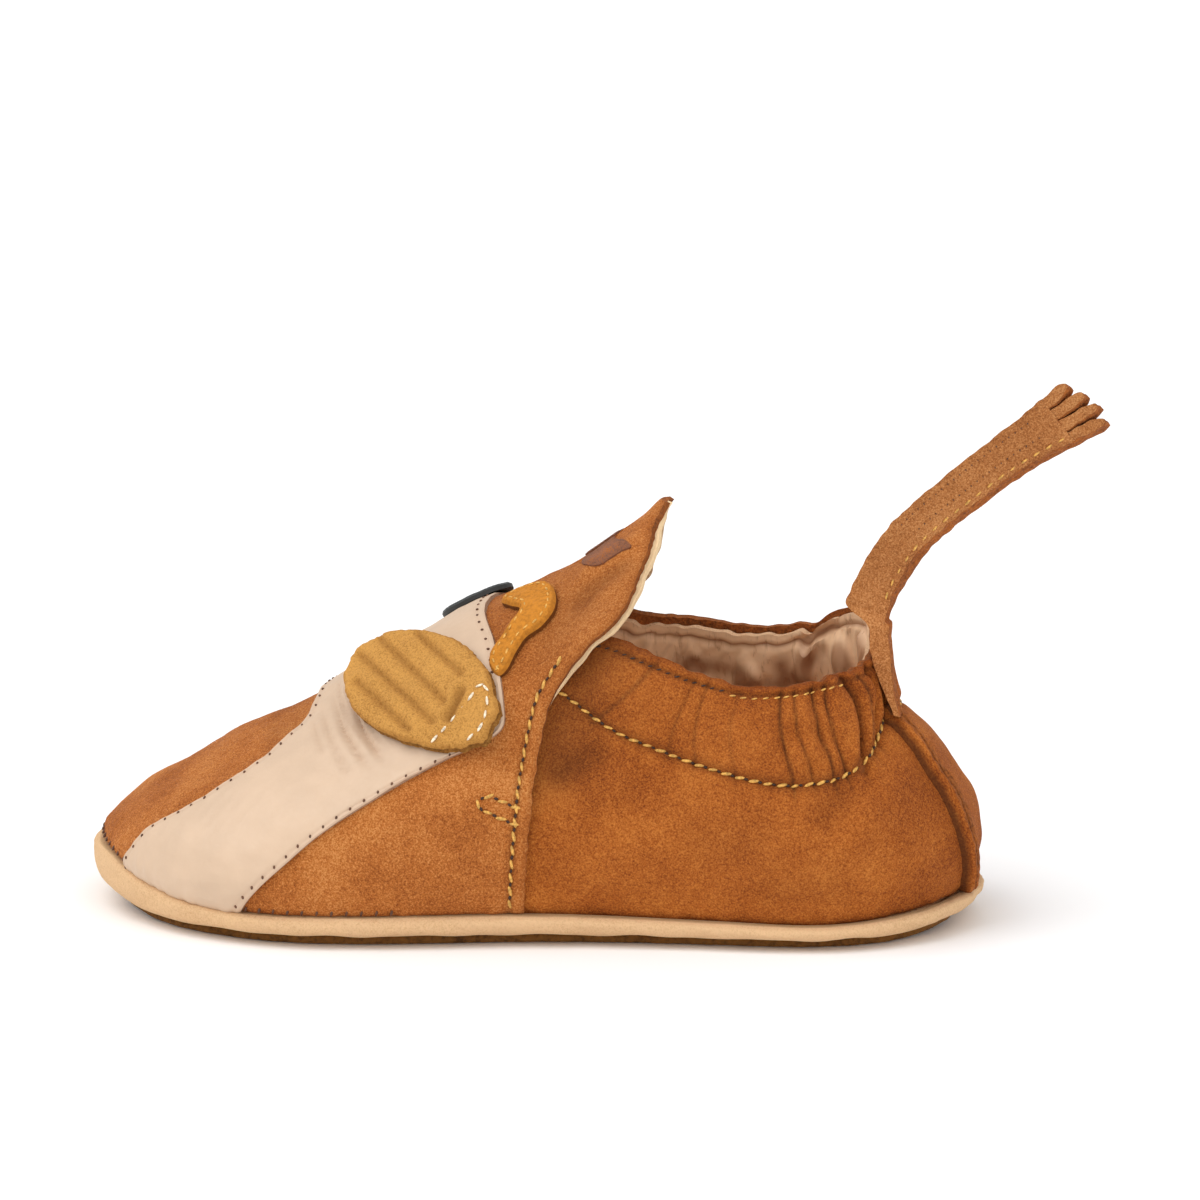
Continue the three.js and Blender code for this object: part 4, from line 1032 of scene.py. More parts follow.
def grain_group():
    """Fine grain of smooth leather: small pebbles, pores and faint wrinkles."""
    group, given, out = new_group(
        "Grain",
        [
            ("Vector", "NodeSocketVector", None),
            ("Light", "NodeSocketColor", None),
            ("Dark", "NodeSocketColor", None),
            ("Grain Scale", "NodeSocketFloat", 1500.0),
        ],
        [("Colour", "NodeSocketColor"), ("Height", "NodeSocketFloat"), ("Roughness", "NodeSocketFloat")],
    )
    cells = add_node(
        group,
        "ShaderNodeTexVoronoi",
        {"Vector": given["Vector"], "Scale": given["Grain Scale"], "Randomness": 1.0},
        feature="SMOOTH_F1",
    ).outputs["Distance"]
    wrinkle = noise(group, given["Vector"], times(group, given["Grain Scale"], 0.12), 5.0, 0.6)
    cloud = noise(group, given["Vector"], times(group, given["Grain Scale"], 0.03), 3.0, 0.55)
    height = math_node(group, "SUBTRACT", times(group, wrinkle, 1.6), times(group, cells, 0.6))
    group.links.new(height, out["Height"])
    tone = plus(group, times(group, wrinkle, 0.45), times(group, cloud, 0.55))
    shade = scaled(group, tone, 0.42, 0.62)
    group.links.new(mix_colour(group, shade, given["Dark"], given["Light"]), out["Colour"])
    group.links.new(scaled(group, cells, 0.0, 0.7, 0.46, 0.62), out["Roughness"])
    return group


def shared_group(name, make):
    return bpy.data.node_groups.get(name) or make()


def new_material(name):
    """Empty material with its node tree, its shader and the place that its patterns read."""
    material = bpy.data.materials.new(name)
    material.use_nodes = True
    tree = material.node_tree
    tree.nodes.clear()
    shader = tree.nodes.new("ShaderNodeBsdfPrincipled")
    output = tree.nodes.new("ShaderNodeOutputMaterial")
    tree.links.new(shader.outputs[0], output.inputs[0])
    return material, tree, shader, tree.nodes.new("ShaderNodeTexCoord").outputs["Object"]


def add_bump(tree, shader, height, distance):
    bump = add_node(tree, "ShaderNodeBump", {"Height": height, "Distance": distance, "Strength": 1.0})
    tree.links.new(bump.outputs[0], shader.inputs["Normal"])


def rgba(values):
    return (*values, 1.0)


def toned(values, factor):
    return tuple(min(1.0, v * factor) for v in values)


def made_once(make):
    """Material of a name, made by a function where the file doesn't have it yet."""

    def find_or_make(name, *values, **options):
        name = "dressed_" + name
        return bpy.data.materials.get(name) or make(name, *values, **options)

    return find_or_make


@made_once
def suede(
    name, light, middle, dark, fold=None, fibre=4000.0, patch=150.0, contrast=1.6, bump=0.3, sheen=0.05
):
    """Napped leather whose cut edges are darker and whose folds get painted shade, both as marked on the
    mesh.
    """
    material, tree, shader, where = new_material(name)
    nap = tree.nodes.new("ShaderNodeGroup")
    nap.node_tree = shared_group("Nap", nap_group)
    tree.links.new(where, nap.inputs["Vector"])
    for key, value in (("Light", light), ("Middle", middle), ("Dark", dark)):
        nap.inputs[key].default_value = rgba(value)
    nap.inputs["Fibre Scale"].default_value = fibre
    nap.inputs["Patch Scale"].default_value = patch
    nap.inputs["Contrast"].default_value = contrast
    # The fold mark mixes in painted shade: a darker colour standing for the shade in folds, grooves and
    # hollows.
    fold_shade_mark = add_node(tree, "ShaderNodeAttribute", attribute_name="fold").outputs["Fac"]
    edge_mark = add_node(tree, "ShaderNodeAttribute", attribute_name="edge").outputs["Fac"]
    depth = fold if fold is not None else toned(dark, 0.45)
    coloured = mix_colour(tree, times(tree, fold_shade_mark, 0.75), nap.outputs["Colour"], rgba(depth))
    coloured = mix_colour(tree, times(tree, edge_mark, 0.45), coloured, rgba(dark))
    tree.links.new(coloured, shader.inputs["Base Color"])
    shader.inputs["Roughness"].default_value = 0.88
    shader.inputs["Specular IOR Level"].default_value = 0.25
    shader.inputs["Sheen Weight"].default_value = sheen
    shader.inputs["Sheen Roughness"].default_value = 0.5
    shader.inputs["Sheen Tint"].default_value = rgba(light)
    add_bump(tree, shader, nap.outputs["Height"], bump * MM)
    return material


@made_once
def smooth_leather(name, light, dark, fold, grain=1500.0, bump=0.06, coat=0.1, streaks=0.0):
    """Smooth leather with a fine grain, painted shade where the mesh marks folds, and upright streaks of
    painted shade for fine wrinkles where streaks are asked for.
    """
    material, tree, shader, where = new_material(name)
    grains = tree.nodes.new("ShaderNodeGroup")
    grains.node_tree = shared_group("Grain", grain_group)
    tree.links.new(where, grains.inputs["Vector"])
    grains.inputs["Light"].default_value = rgba(light)
    grains.inputs["Dark"].default_value = rgba(dark)
    grains.inputs["Grain Scale"].default_value = grain
    # The fold mark mixes in painted shade: a darker colour standing for the shade in folds, grooves and
    # hollows.
    fold_shade_mark = add_node(tree, "ShaderNodeAttribute", attribute_name="fold").outputs["Fac"]
    edge_mark = add_node(tree, "ShaderNodeAttribute", attribute_name="edge").outputs["Fac"]
    coloured = mix_colour(tree, times(tree, fold_shade_mark, 0.8), grains.outputs["Colour"], rgba(fold))
    edge_colour = rgba(mix(np.array(dark), np.array(fold), 0.3))
    coloured = mix_colour(tree, times(tree, edge_mark, 0.5), coloured, edge_colour)
    # Upright streaks of the fold colour: painted shade of fine wrinkles, which have no bump of their own.
    if streaks:
        upright = add_node(
            tree, "ShaderNodeVectorMath", {0: where, 1: (1, 1, 0.14)}, operation="MULTIPLY"
        ).outputs[0]
        wrinkle = scaled(tree, noise(tree, upright, 1300.0, 3.0, 0.6), 0.55, 0.7, 0.0, streaks)
        coloured = mix_colour(tree, wrinkle, coloured, rgba(fold))
    tree.links.new(coloured, shader.inputs["Base Color"])
    tree.links.new(grains.outputs["Roughness"], shader.inputs["Roughness"])
    shader.inputs["Coat Weight"].default_value = coat
    shader.inputs["Coat Roughness"].default_value = 0.45
    add_bump(tree, shader, grains.outputs["Height"], bump * MM)
    return material


@made_once
def thread_material(name, tint):
    material, tree, shader, where = new_material(name)
    strands = noise(tree, where, 2600.0, 2.0, 0.5)
    tone = scaled(tree, strands, 0.35, 0.65)
    tree.links.new(
        mix_colour(tree, tone, rgba(toned(tint, 0.6)), rgba(toned(tint, 1.15))), shader.inputs["Base Color"]
    )
    shader.inputs["Roughness"].default_value = 0.55
    add_bump(tree, shader, strands, 0.06 * MM)
    return material


def leathers(context):
    """Every leather and thread of the slipper by name."""
    colours = context.scene.slipper_colours
    c = {key: tuple(getattr(colours, key)) for key in SlipperColours.__annotations__}
    nubuck, raw, lining = c["nubuck"], c["raw_edge"], c["lining"]
    pale, pale_dark, flap_lining = c["pale_leather"], c["pale_dark"], c["flap_lining"]
    sole, outsole, mustard, mustard_dark = c["sole_suede"], c["outsole"], c["mustard"], c["mustard_dark"]
    horn, horn_dark, black, mauve = c["horn"], c["horn_dark"], c["black_leather"], c["mauve"]
    rough = {"contrast": 1.6, "bump": 0.4, "fibre": 2200.0}
    # Each fold colour is painted shade, mixed in where the mesh's fold mark says; the raw edge colour is its
    # base for the brown leathers and the lining.
    return {
        "nubuck": suede("brown_nubuck", c["nubuck_light"], nubuck, c["nubuck_dark"], fold=toned(raw, 0.28)),
        # The quarter's darker nubuck is painted shade of the upright side.
        "quarter": suede(
            "quarter_nubuck", c["quarter_light"], c["quarter"], c["quarter_dark"], fold=toned(raw, 0.24)
        ),
        "raw": suede("raw_brown_edge", nubuck, raw, toned(raw, 0.5), **rough),
        "pale": smooth_leather("pale_leather", pale, toned(pale, 0.93), pale_dark),
        "pale_edge": suede("pale_raw_edge", pale, pale_dark, toned(pale_dark, 0.7), bump=0.2),
        "lining": smooth_leather(
            "lining_leather", lining, toned(lining, 0.92), toned(raw, 0.75), coat=0.0, streaks=0.45
        ),
        "lining_edge": suede("lining_raw_edge", flap_lining, lining, c["lining_dark"], bump=0.2),
        "flap_lining": suede("flap_lining", flap_lining, flap_lining, lining, contrast=0.8, bump=0.15),
        "sole": suede(
            "peach_suede", toned(sole, 1.08), sole, c["sole_dark"], fold=toned(c["sole_dark"], 0.5),
            contrast=0.8
        ),
        "outsole": suede(
            "outsole_suede", toned(outsole, 1.25), outsole, c["outsole_dark"], fibre=1100.0, patch=110.0
        ),
        "mustard": suede(
            "mustard_suede", toned(mustard, 1.18), mustard, mustard_dark, fold=toned(mustard_dark, 0.6),
            bump=0.25
        ),
        "mustard_edge": suede("mustard_raw_edge", mustard, mustard_dark, toned(mustard_dark, 0.5), **rough),
        "horn": suede("horn_leather", toned(horn, 1.15), horn, toned(horn, 0.7), fibre=1700.0, bump=0.14),
        "horn_edge": suede("horn_raw_edge", toned(horn_dark, 1.3), horn_dark, toned(horn_dark, 0.5)),
        "tail": suede("tail_face", c["tail_light"], c["tail"], c["tail_dark"]),
        "black": smooth_leather("dark_leather", black, toned(black, 0.6), toned(black, 0.3), coat=0.2),
        "mauve": suede(
            "mauve_suede", toned(nubuck, 0.95), mauve, toned(mauve, 0.6), contrast=2.2, patch=420.0
        ),
        "gold": thread_material("gold_thread", c["gold_thread"]),
        "white": thread_material("pale_thread", c["pale_thread"]),
        "brown": thread_material("brown_thread", c["brown_thread"]),
        # The near-black needle-hole colour is painted shade of holes; the rim's zigzag row is sewn in it as a
        # dark thread.
        "hole": thread_material("needle_holes", toned(raw, 0.12)),
    }


# Pieces


def quarter_piece(last, skins):
    """Nubuck of the quarter, with its gathered casing, from the sole seam to the rim."""
    s = last.sizes
    columns, rows = QUARTER_GRID
    around = -1 + 2 * np.arange(columns) / columns
    foot, rim = last.foot(around) - 0.25 * MM, last.rim(around)
    here = last.point(around, rim)
    rim = rim + 0.18 * MM * ripple(here, 3.2 * MM, 31) * last.behind_vamp(around, rim)
    grid, fold_shades, edges = [], [], []
    for r in range(rows + 1):
        z = mix(foot, rim, 1 - (1 - r / rows) ** 1.4)
        relief, fold = last.quarter_relief(around, z)
        grid.append(last.skin(around, z, relief))
        fold_shades.append(fold)
        edges.append(mound(rim - z, 0.5 * MM))
    inner_rows = 7
    for r in range(inner_rows + 1):
        z = mix(rim, foot, r / inner_rows)
        relief, _ = last.quarter_relief(around, z)
        grid.append(last.skin(around, z, np.minimum(relief, 0.4 * MM) - s.leather))
        fold_shades.append(np.zeros(columns))
        edges.append(np.full(columns, 0.1))
    return ring_piece("quarter", grid, rows, [skins["quarter"], skins["raw"]], fold_shades, edges)


def lining_piece(last, skins):
    """Cream lining inside the quarter and vamp, gathered under the rim."""
    s = last.sizes
    columns, rows = LINING_GRID
    around = -1 + 2 * np.arange(columns) / columns
    foot, rim = last.foot(around) + 0.2 * MM, last.rim(around) - 1.0 * MM
    here = last.point(around, rim)
    rim = rim + 0.2 * MM * ripple(here, 3.8 * MM, 41)
    grid, fold_shades, edges = [], [], []

    def follow(z):
        """How far the gathers of the quarter push the lining inwards."""
        return np.maximum(0, -last.quarter_relief(around, z)[0] - 0.5 * MM)

    for r in range(rows + 1):
        z = mix(rim, foot, (r / rows) ** 1.15)
        p = last.point(around, z)
        below = rim - z
        seam = mound(below - 1.5 * MM, 0.35 * MM)
        gathered = smooth((below - 1.6 * MM) / (1.2 * MM)) * (1 - smooth((below - 5 * MM) / (12 * MM)))
        gathered = gathered * smooth((p[:, 0] / last.half - 0.02) / 0.2)
        turns = around * last.half_round(s.collar_height) / (2.4 * MM) + 0.25 * ripple(p, 9 * MM, 42)
        flutes = np.sin(2 * np.pi * turns) * (0.65 + 0.35 * ripple(p * (1, 1, 0.3), 7 * MM, 45))
        folds_deep = np.maximum(ripple(p * (1, 1, 0.3), 8 * MM, 43), 0)
        arc = last.crease(LINING_CREASES, p) * smooth(p[:, 1] / (4 * MM))
        depth = 0.24 * MM * flutes * gathered + 1.2 * MM * folds_deep * gathered - 0.35 * MM * seam
        depth = depth + 0.25 * MM * ripple(p, 14 * MM, 44) + arc
        most = mix(0.45 * MM, 0.12 * MM, smooth((below - 1.5 * MM) / (1 * MM)))
        grid.append(last.skin(around, z, np.minimum(-depth, most) - s.wall - follow(z)))
        # Painted shade of the lining: in the seam's groove under the rim, in the gathers' flutes and deep
        # folds, darker further down inside, and in the dents of its creases.
        shade = 0.9 * seam + gathered * (
            0.3 * smooth((flutes - 0.1) / 0.9) + 0.8 * smooth((folds_deep - 0.25) / 0.7)
        )
        shade = shade + 0.3 * smooth((below - 7 * MM) / (8 * MM)) + 0.8 * np.maximum(-arc, 0) / MM
        fold_shades.append(np.clip(shade, 0, 1))
        edges.append(mound(below, 0.35 * MM))
    outer_rows = 4
    for r in range(outer_rows + 1):
        z = mix(foot, rim, r / outer_rows)
        out = mix(-s.wall + 0.3 * MM, -s.leather - 0.1 * MM, float(r == outer_rows)) - follow(z)
        grid.append(last.skin(around, z, out))
        fold_shades.append(np.zeros(columns))
        edges.append(np.ones(columns))
    return ring_piece("lining", grid, rows, [skins["lining"], skins["lining_edge"]], fold_shades, edges)


def vamp_places(last, columns, rows, past=None):
    """Shares around, heights and sides of a grid over the vamp, its edge moved back past its own."""
    s = last.sizes
    share = np.linspace(-1, 1, columns + 1)
    side = np.where(share < 0, -1, 1)
    t = (np.linspace(0, 1, rows + 1) ** 0.92)[:, None]
    start = 0.08 * s.flap_height
    z = mix(start, s.flap_height, t) + np.zeros((1, len(share)))
    side = np.broadcast_to(side, z.shape)
    for _ in range(4):
        edge = last.vamp_edge(side, z) + (past(z) if past else 0)
        left = last.around_at(-1, z, edge)
        right = last.around_at(1, z, edge)
        around = np.abs(share) * np.where(side < 0, left, right)
        foot = last.foot(around)
        z = mix(foot - 0.25 * MM, s.flap_height, t)
    return side, around, z


def vamp_piece(last, skins):
    """Nubuck of the vamp and its pointed throat flap."""
    s = last.sizes
    side, around, z = vamp_places(last, *VAMP_GRID)
    relief, fold = last.vamp_relief(side, around, z)
    outer = last.skin(around, z, relief)
    inner = last.skin(around, z, relief - s.leather)
    from_edge = last.vamp_edge(side, z) - last.point(around, z)[..., 0]
    edge = mound(from_edge, 0.6 * MM) * 0.9
    jag = 0.12 * MM * ripple(outer, 1.6 * MM, 51) * mound(from_edge, 0.7 * MM)
    outer[..., 0] += jag
    inner[..., 0] += jag
    points, faces, kinds = sheet_shell(outer, inner)
    skins_of = [skins["nubuck"], skins["raw"], skins["raw"]]
    return new_object("vamp", points, faces, skins_of, kinds, with_marks(fold, edge))


def vamp_lining_piece(last, skins):
    """Lining of the vamp, which stands a little past its free edge."""
    s = last.sizes
    tip = lambda z: smooth((s.flap_height - z) / (5 * MM))
    past = lambda z: mix(-0.7 * MM, s.lining_show, smooth((z / s.instep_height - 0.6) / 0.3) * tip(z))
    side, around, z = vamp_places(last, *VAMP_LINING_GRID, past)
    lift, _ = last.vamp_free(side, around, z)
    top = s.vamp_step + lift - s.leather - 0.03 * MM
    relief, _ = last.vamp_relief(side, around, z)
    top = np.minimum(top, relief - s.leather - 0.03 * MM)
    outer = last.skin(around, z, top)
    inner = last.skin(around, z, top - s.lining)
    wave = 0.15 * MM * ripple(outer, 5 * MM, 52)
    outer[..., 0] += wave
    inner[..., 0] += wave
    points, faces, _ = sheet_shell(outer, inner)
    return new_object("vamp_lining", points, faces, [skins["flap_lining"]])


def overlay_places(last, across, along):
    """Grid of shares around and heights over the pale overlay, rows from its outer foot over the ridge."""
    s = last.sizes
    v = np.linspace(-1, 1, 2 * along + 1)
    lines = []
    for column in ("front", "rear"):
        ridge_low, ridge_high = 0.3 * s.instep_height, 1.02 * s.instep_height
        for _ in range(40):
            middle = (ridge_low + ridge_high) / 2
            ahead = last.point(0.0, middle)[0] < OVERLAY.read(column, middle / s.instep_height) * last.half
            ridge_low, ridge_high = (middle, ridge_high) if ahead else (ridge_low, middle)
        ridge = (ridge_low + ridge_high) / 2
        around, z = np.zeros(v.shape), np.zeros(v.shape)
        for side in (-1, 1):
            pick = v * side >= 0
            base = 0.09 * s.instep_height
            share = 1 - np.abs(v[pick])
            height = mix(base, ridge, share ** 0.8)
            found = last.around_at(side, height, OVERLAY.read(column, height / s.instep_height) * last.half)
            found = np.where(share > 0.999, 0, found)
            foot = last.foot(found)
            height = np.maximum(height, foot - 0.2 * MM)
            height = np.where(share < 1e-6, foot - 0.2 * MM, height)
            around[pick] = found
            z[pick] = height
        lines.append((around, z))
    (a0, z0), (a1, z1) = lines
    u = np.linspace(0, 1, across + 1)
    around = mix(a0[:, None], a1[:, None], u)
    z = mix(z0[:, None], z1[:, None], u)
    foot = last.foot(around)
    low = mix((z0 - last.foot(a0))[:, None], (z1 - last.foot(a1))[:, None], u)
    near_foot = np.exp(-np.maximum(low, 0) / (6 * MM))
    z = mix(z, foot + low, near_foot)
    side = np.broadcast_to(np.where(v < 0, -1, 1)[:, None], z.shape)
    return side, around, z, u


def overlay_piece(last, skins):
    """Smooth cream leather across the face."""
    s = last.sizes
    side, around, z, u = overlay_places(last, *OVERLAY_GRID)
    p = last.point(around, z)
    width = np.linalg.norm(np.diff(p, axis=1), axis=-1).sum(1)[:, None]
    from_edge = np.minimum(u, 1 - u) * width
    relief, _ = last.vamp_relief(side, around, z)
    row = mound(from_edge - OVERLAY_ROW_INSET, 0.45 * MM)
    height = s.gap + s.overlay - 0.16 * MM * row
    height = height - 0.3 * MM * mound(from_edge, 0.3 * MM)
    crease = last.crease(OVERLAY_CREASES, p)
    height = height + 1.7 * crease + 0.05 * MM * ripple(p, 2.4 * MM, 61) * (1 - row)
    pucker = 0.06 * MM * np.cos(2 * np.pi * np.arange(1, len(z) + 1)[:, None] / 3)
    height = height + pucker * row
    outer = last.skin(around, z, relief + height)
    inner = last.skin(around, z, relief - 0.1 * MM)
    points, faces, kinds = sheet_shell(outer, inner)
    # Painted shade in the creases' dents and in the pressed stitch rows.
    fold = np.clip(-crease / (0.25 * MM), 0, 1) * 0.3 + 0.25 * row
    edge = mound(from_edge, 0.3 * MM) * 0.8
    skins_of = [skins["pale"], skins["pale_edge"], skins["pale_edge"]]
    return new_object("face_leather", points, faces, skins_of, kinds, with_marks(fold, edge))


def turned(flat, degrees):
    a = math.radians(degrees)
    return flat @ np.array([[math.cos(a), math.sin(a)], [-math.sin(a), math.cos(a)]])


def ear_frame(last, name):
    """Seat of an ear and a function that puts places of the ear, in its own shares, into space."""
    s = last.sizes
    along, rise, stand = EAR_PLACES[name]
    seat = Seat(last, SIDES[name], along, rise)
    height = s.vamp_step + 2 * s.gap + s.overlay

    def place(flat, above):
        around, z = seat.below(flat, height)
        skin = (last.skin(around, z, np.full(len(flat), height)) - seat.origin) @ seat.out
        free = stand * smooth(0.5 + (flat[:, 1] - flat[:, 0]) / (0.64 * (s.ear_length + s.ear_width)))
        base = np.maximum(mix(skin, height + s.ear_lift, free), skin)
        return seat.at(flat, base + above)

    def own(shares):
        shares = np.asarray(shares, float) * (s.ear_length / 2, s.ear_width / 2)
        return turned(shares, EAR_TILT)

    return seat, place, own


def ear_piece(last, skins, name):
    """Oval suede ear of two layers with four pressed lines and a tuck at its base."""
    s = last.sizes
    _, place, own = ear_frame(last, name)
    turn = np.linspace(0, 2 * np.pi, 240, endpoint=False)
    ragged = 1 + 0.012 * ripple(
        np.stack([np.cos(turn), np.sin(turn), turn * 0], axis=1), 0.35, 71 + SIDES[name]
    )
    ragged = ragged + 0.008 * ripple(np.stack([np.cos(turn), np.sin(turn), turn * 0], axis=1), 0.1, 72)
    outline = own(np.stack([np.cos(turn) * ragged, np.sin(turn) * ragged], axis=1))
    lines = [own(line) for line in EAR_LINES]
    tuck = own(EAR_TUCK)

    def relief(flat):
        total = 0.12 * MM * ripple(np.pad(flat, ((0, 0), (0, 1))), 7 * MM, 73)
        for line in lines:
            d = distance_to(flat, line)
            total = total - 0.5 * MM * mound(d, 0.45 * MM) + 0.2 * MM * mound(d - 1.4 * MM, 0.7 * MM)
        d = distance_to(flat, tuck)
        return total - 0.6 * MM * mound(d, 0.5 * MM) + 0.35 * MM * mound(d - 1.2 * MM, 0.6 * MM)

    # Painted shade in the tuck and along the pressed lines.
    def shade(flat):
        total = 0.75 * mound(distance_to(flat, tuck), 0.7 * MM)
        for line in lines:
            total = np.maximum(total, 0.5 * mound(distance_to(flat, line), 0.5 * MM))
        return total

    ear = cut_piece(
        f"ear_{name}_suede", outline, place, s.ear_thickness, [skins["mustard"], skins["mustard_edge"]],
        relief=relief, shade=shade, groove=0.25 * MM,
    )
    return ear


def horn_outline(last):
    return rounded(np.array(HORN_OUTLINE) * last.sizes.horn_length)


def horn_place(last, name):
    s = last.sizes
    seat = Seat(last, SIDES[name], *HORN_PLACES[name])

    def place(flat, above):
        around, z = seat.below(flat, s.vamp_step)
        relief, _ = last.vamp_relief(SIDES[name], around, z)
        return last.skin(around, z, relief + 0.05 * MM + above)

    return place


def horn_piece(last, skins, name):
    """Hooked horn whose lower end is tucked beside the overlay."""
    s = last.sizes
    return cut_piece(
        f"horn_{name}_leather", horn_outline(last), horn_place(last, name), s.horn_thickness + s.gap,
        [skins["horn"], skins["horn_edge"]], spacing=0.38 * MM, roundness=0.5,
        relief=lambda flat: 0.06 * MM * ripple(np.pad(flat, ((0, 0), (0, 1))), 4 * MM, 81),
    )


def patch_piece(last, skins):
    """Dark patch across the ridge at the overlay's rear end."""
    s = last.sizes
    seat = Seat(last, 1, *PATCH_PLACE)
    turn = np.linspace(0, 2 * np.pi, 90, endpoint=False)
    outline = np.stack([np.cos(turn) * s.patch_length / 2, np.sin(turn) * s.patch_width / 2], axis=1)

    def place(flat, above):
        around, z = seat.below(flat, s.vamp_step)
        relief, _ = last.vamp_relief(1, around, z)
        return last.skin(around, z, relief + s.gap + s.overlay + 0.02 * MM + above)

    return cut_piece(
        "dark_patch_leather", outline, place, s.patch_thickness + s.gap, [skins["black"]], spacing=0.4 * MM
    )


def forelock_piece(last, skins, name):
    """One side of the leaf-shaped forelock on the flap."""
    s = last.sizes
    side = SIDES[name]
    outline = rounded(np.array(FORELOCK_OUTLINE) * (last.half, s.flap_height))

    def place(flat, above):
        around = last.around_at(side, flat[:, 1], flat[:, 0])
        around = np.where(np.abs(around) < 0.004, side * 0.004, around)
        relief, _ = last.vamp_relief(side, around, flat[:, 1])
        return last.skin(around, flat[:, 1], relief + 0.02 * MM + above)

    return cut_piece(
        f"forelock_{name}_suede", outline, place, 0.6 * s.forelock_thickness, [skins["mauve"]],
        spacing=0.35 * MM
    )


# The sole


def sole_ring(last, inset, height_at):
    """Closed loop round the sole at an inset from the last's outline, at heights given along it."""
    loop = []
    for side, order in ((-1, np.arange(SOLE_STATIONS + 1)), (1, np.arange(SOLE_STATIONS - 1, 0, -1))):
        station = 3 * order / SOLE_STATIONS
        z = last.seam(last.outline(side, last.seam(0.0), station)[:, 0])
        here = last.outline(side, z, station)
        ahead = last.outline(side, z, np.minimum(station + 0.02, 3))
        behind = last.outline(side, z, np.maximum(station - 0.02, 0))
        along = ahead - behind
        ends = (order == 0) | (order == SOLE_STATIONS)
        along[ends] = np.stack([np.zeros(ends.sum()), side * np.where(order[ends] == 0, 1, -1)], axis=1)
        along /= np.linalg.norm(along, axis=1, keepdims=True)
        x = here[:, 0] + side * inset * along[:, 1]
        y = here[:, 1] - side * inset * along[:, 0]
        loop.append(np.stack([x, y, height_at(x)], axis=1))
    return np.concatenate(loop)


def sole_stack(name, rings, material, marks=None):
    """Closed solid through a stack of loops round the sole, its ends closed by strips across."""
    rings = np.array(rings)
    rows, count = rings.shape[:2]
    faces = grid_faces(rows, count, False, True).tolist()
    for start, turned_over in ((0, False), ((rows - 1) * count, True)):
        for i in range(SOLE_STATIONS):
            far = (count - i) % count
            tris = [(i, far, i + 1)] if i > 0 else []
            if i < SOLE_STATIONS - 1:
                tris.append((i + 1, far, count - i - 1))
            for a, b, c in tris:
                faces.append([start + k for k in ((a, c, b) if turned_over else (a, b, c))])
    return new_object(name, rings, faces, [material], marks=marks)


def sole_piece(last, skins):
    """Peach suede sole leather whose edge turns up in a soft round band to the seam."""
    s = last.sizes
    under = lambda x: last.spring(x) + s.outsole_thickness + 0.05 * MM
    floor = lambda x: under(x) + s.sole_thickness
    profile = rounded(
        [
            (1.9 * s.sole_thickness, 0.0), (0.8 * s.sole_thickness, 0.06), (-0.55 * s.band_proud, 0.27),
            (-s.band_proud, 0.58), (-0.86 * s.band_proud, 0.88), (0.05 * MM, 1.04), (0.9 * MM, 0.96),
        ],
        closed=False, steps=5,
    )
    rings, edges, fold_shades = [], [], []
    for inset, share in profile:
        ring = sole_ring(last, inset, lambda x: mix(under(x), last.seam(x), share))
        outward = smooth(0.3 + (-inset) / s.band_proud)
        swell = 0.16 * MM * ripple(ring * (1, 1, 2), 7 * MM, 91) + 0.06 * MM * ripple(ring, 2.2 * MM, 92)
        middle = np.array([0.0, 0.0, ring[:, 2].mean()])
        away = ring - middle
        away[:, 2] = 0
        away /= np.linalg.norm(away, axis=1, keepdims=True)
        ring = ring + away * (swell * outward)[:, None]
        ring[:, 2] += 0.12 * MM * ripple(ring, 9 * MM, 93) * smooth(1 - share)
        rings.append(ring)
        edges.append(np.full(len(ring), 0.5 * smooth(0.25 - share)))
        # Painted shade at the band's top, in the crease under the upper.
        fold_shades.append(np.full(len(ring), smooth((share - 0.96) / 0.06)))
    rings.append(sole_ring(last, s.sole_thickness, lambda x: mix(floor(x), last.seam(x), 0.3)))
    rings.append(sole_ring(last, 1.8 * s.sole_thickness, floor))
    for _ in range(2):
        edges.append(np.zeros(len(rings[0])))
        fold_shades.append(np.zeros(len(rings[0])))
    marks = {"edge": np.array(edges), "fold": np.array(fold_shades)}
    return sole_stack("sole_band", rings, skins["sole"], marks)


def outsole_piece(last, skins):
    """Olive-brown suede outsole with a softened edge."""
    s = last.sizes
    rings, edges = [], []
    for inset, share in ((0.5, 0.0), (0.18, 0.06), (0.0, 0.28), (0.0, 0.72), (0.2, 0.98), (1.4, 1.0)):
        ring = sole_ring(
            last, s.outsole_inset + inset * MM, lambda x: last.spring(x) + share * s.outsole_thickness
        )
        ring[:, :2] *= (1 + 0.0035 * ripple(ring, 6 * MM, 95) * (0 if share == 0 else 1))[:, None]
        rings.append(ring)
        edges.append(np.full(len(ring), 0.6 * smooth((share - 0.02) * 10)))
    return sole_stack("outsole_suede", rings, skins["outsole"], {"edge": np.array(edges)})


def insole_piece(last, skins):
    """Cream sock leather on the floor inside."""
    s = last.sizes
    inset = s.wall + 0.55 * MM
    under = lambda x: last.spring(x) + s.outsole_thickness + s.sole_thickness + 2 * s.gap
    rings = [
        sole_ring(last, inset + 0.3 * MM, under),
        sole_ring(last, inset, lambda x: under(x) + 0.3 * MM),
        sole_ring(last, inset, lambda x: under(x) + s.insole_thickness - 0.3 * MM),
        sole_ring(last, inset + 0.35 * MM, lambda x: under(x) + s.insole_thickness),
    ]
    return sole_stack("sock", rings, skins["lining"])


# Back seam and tail


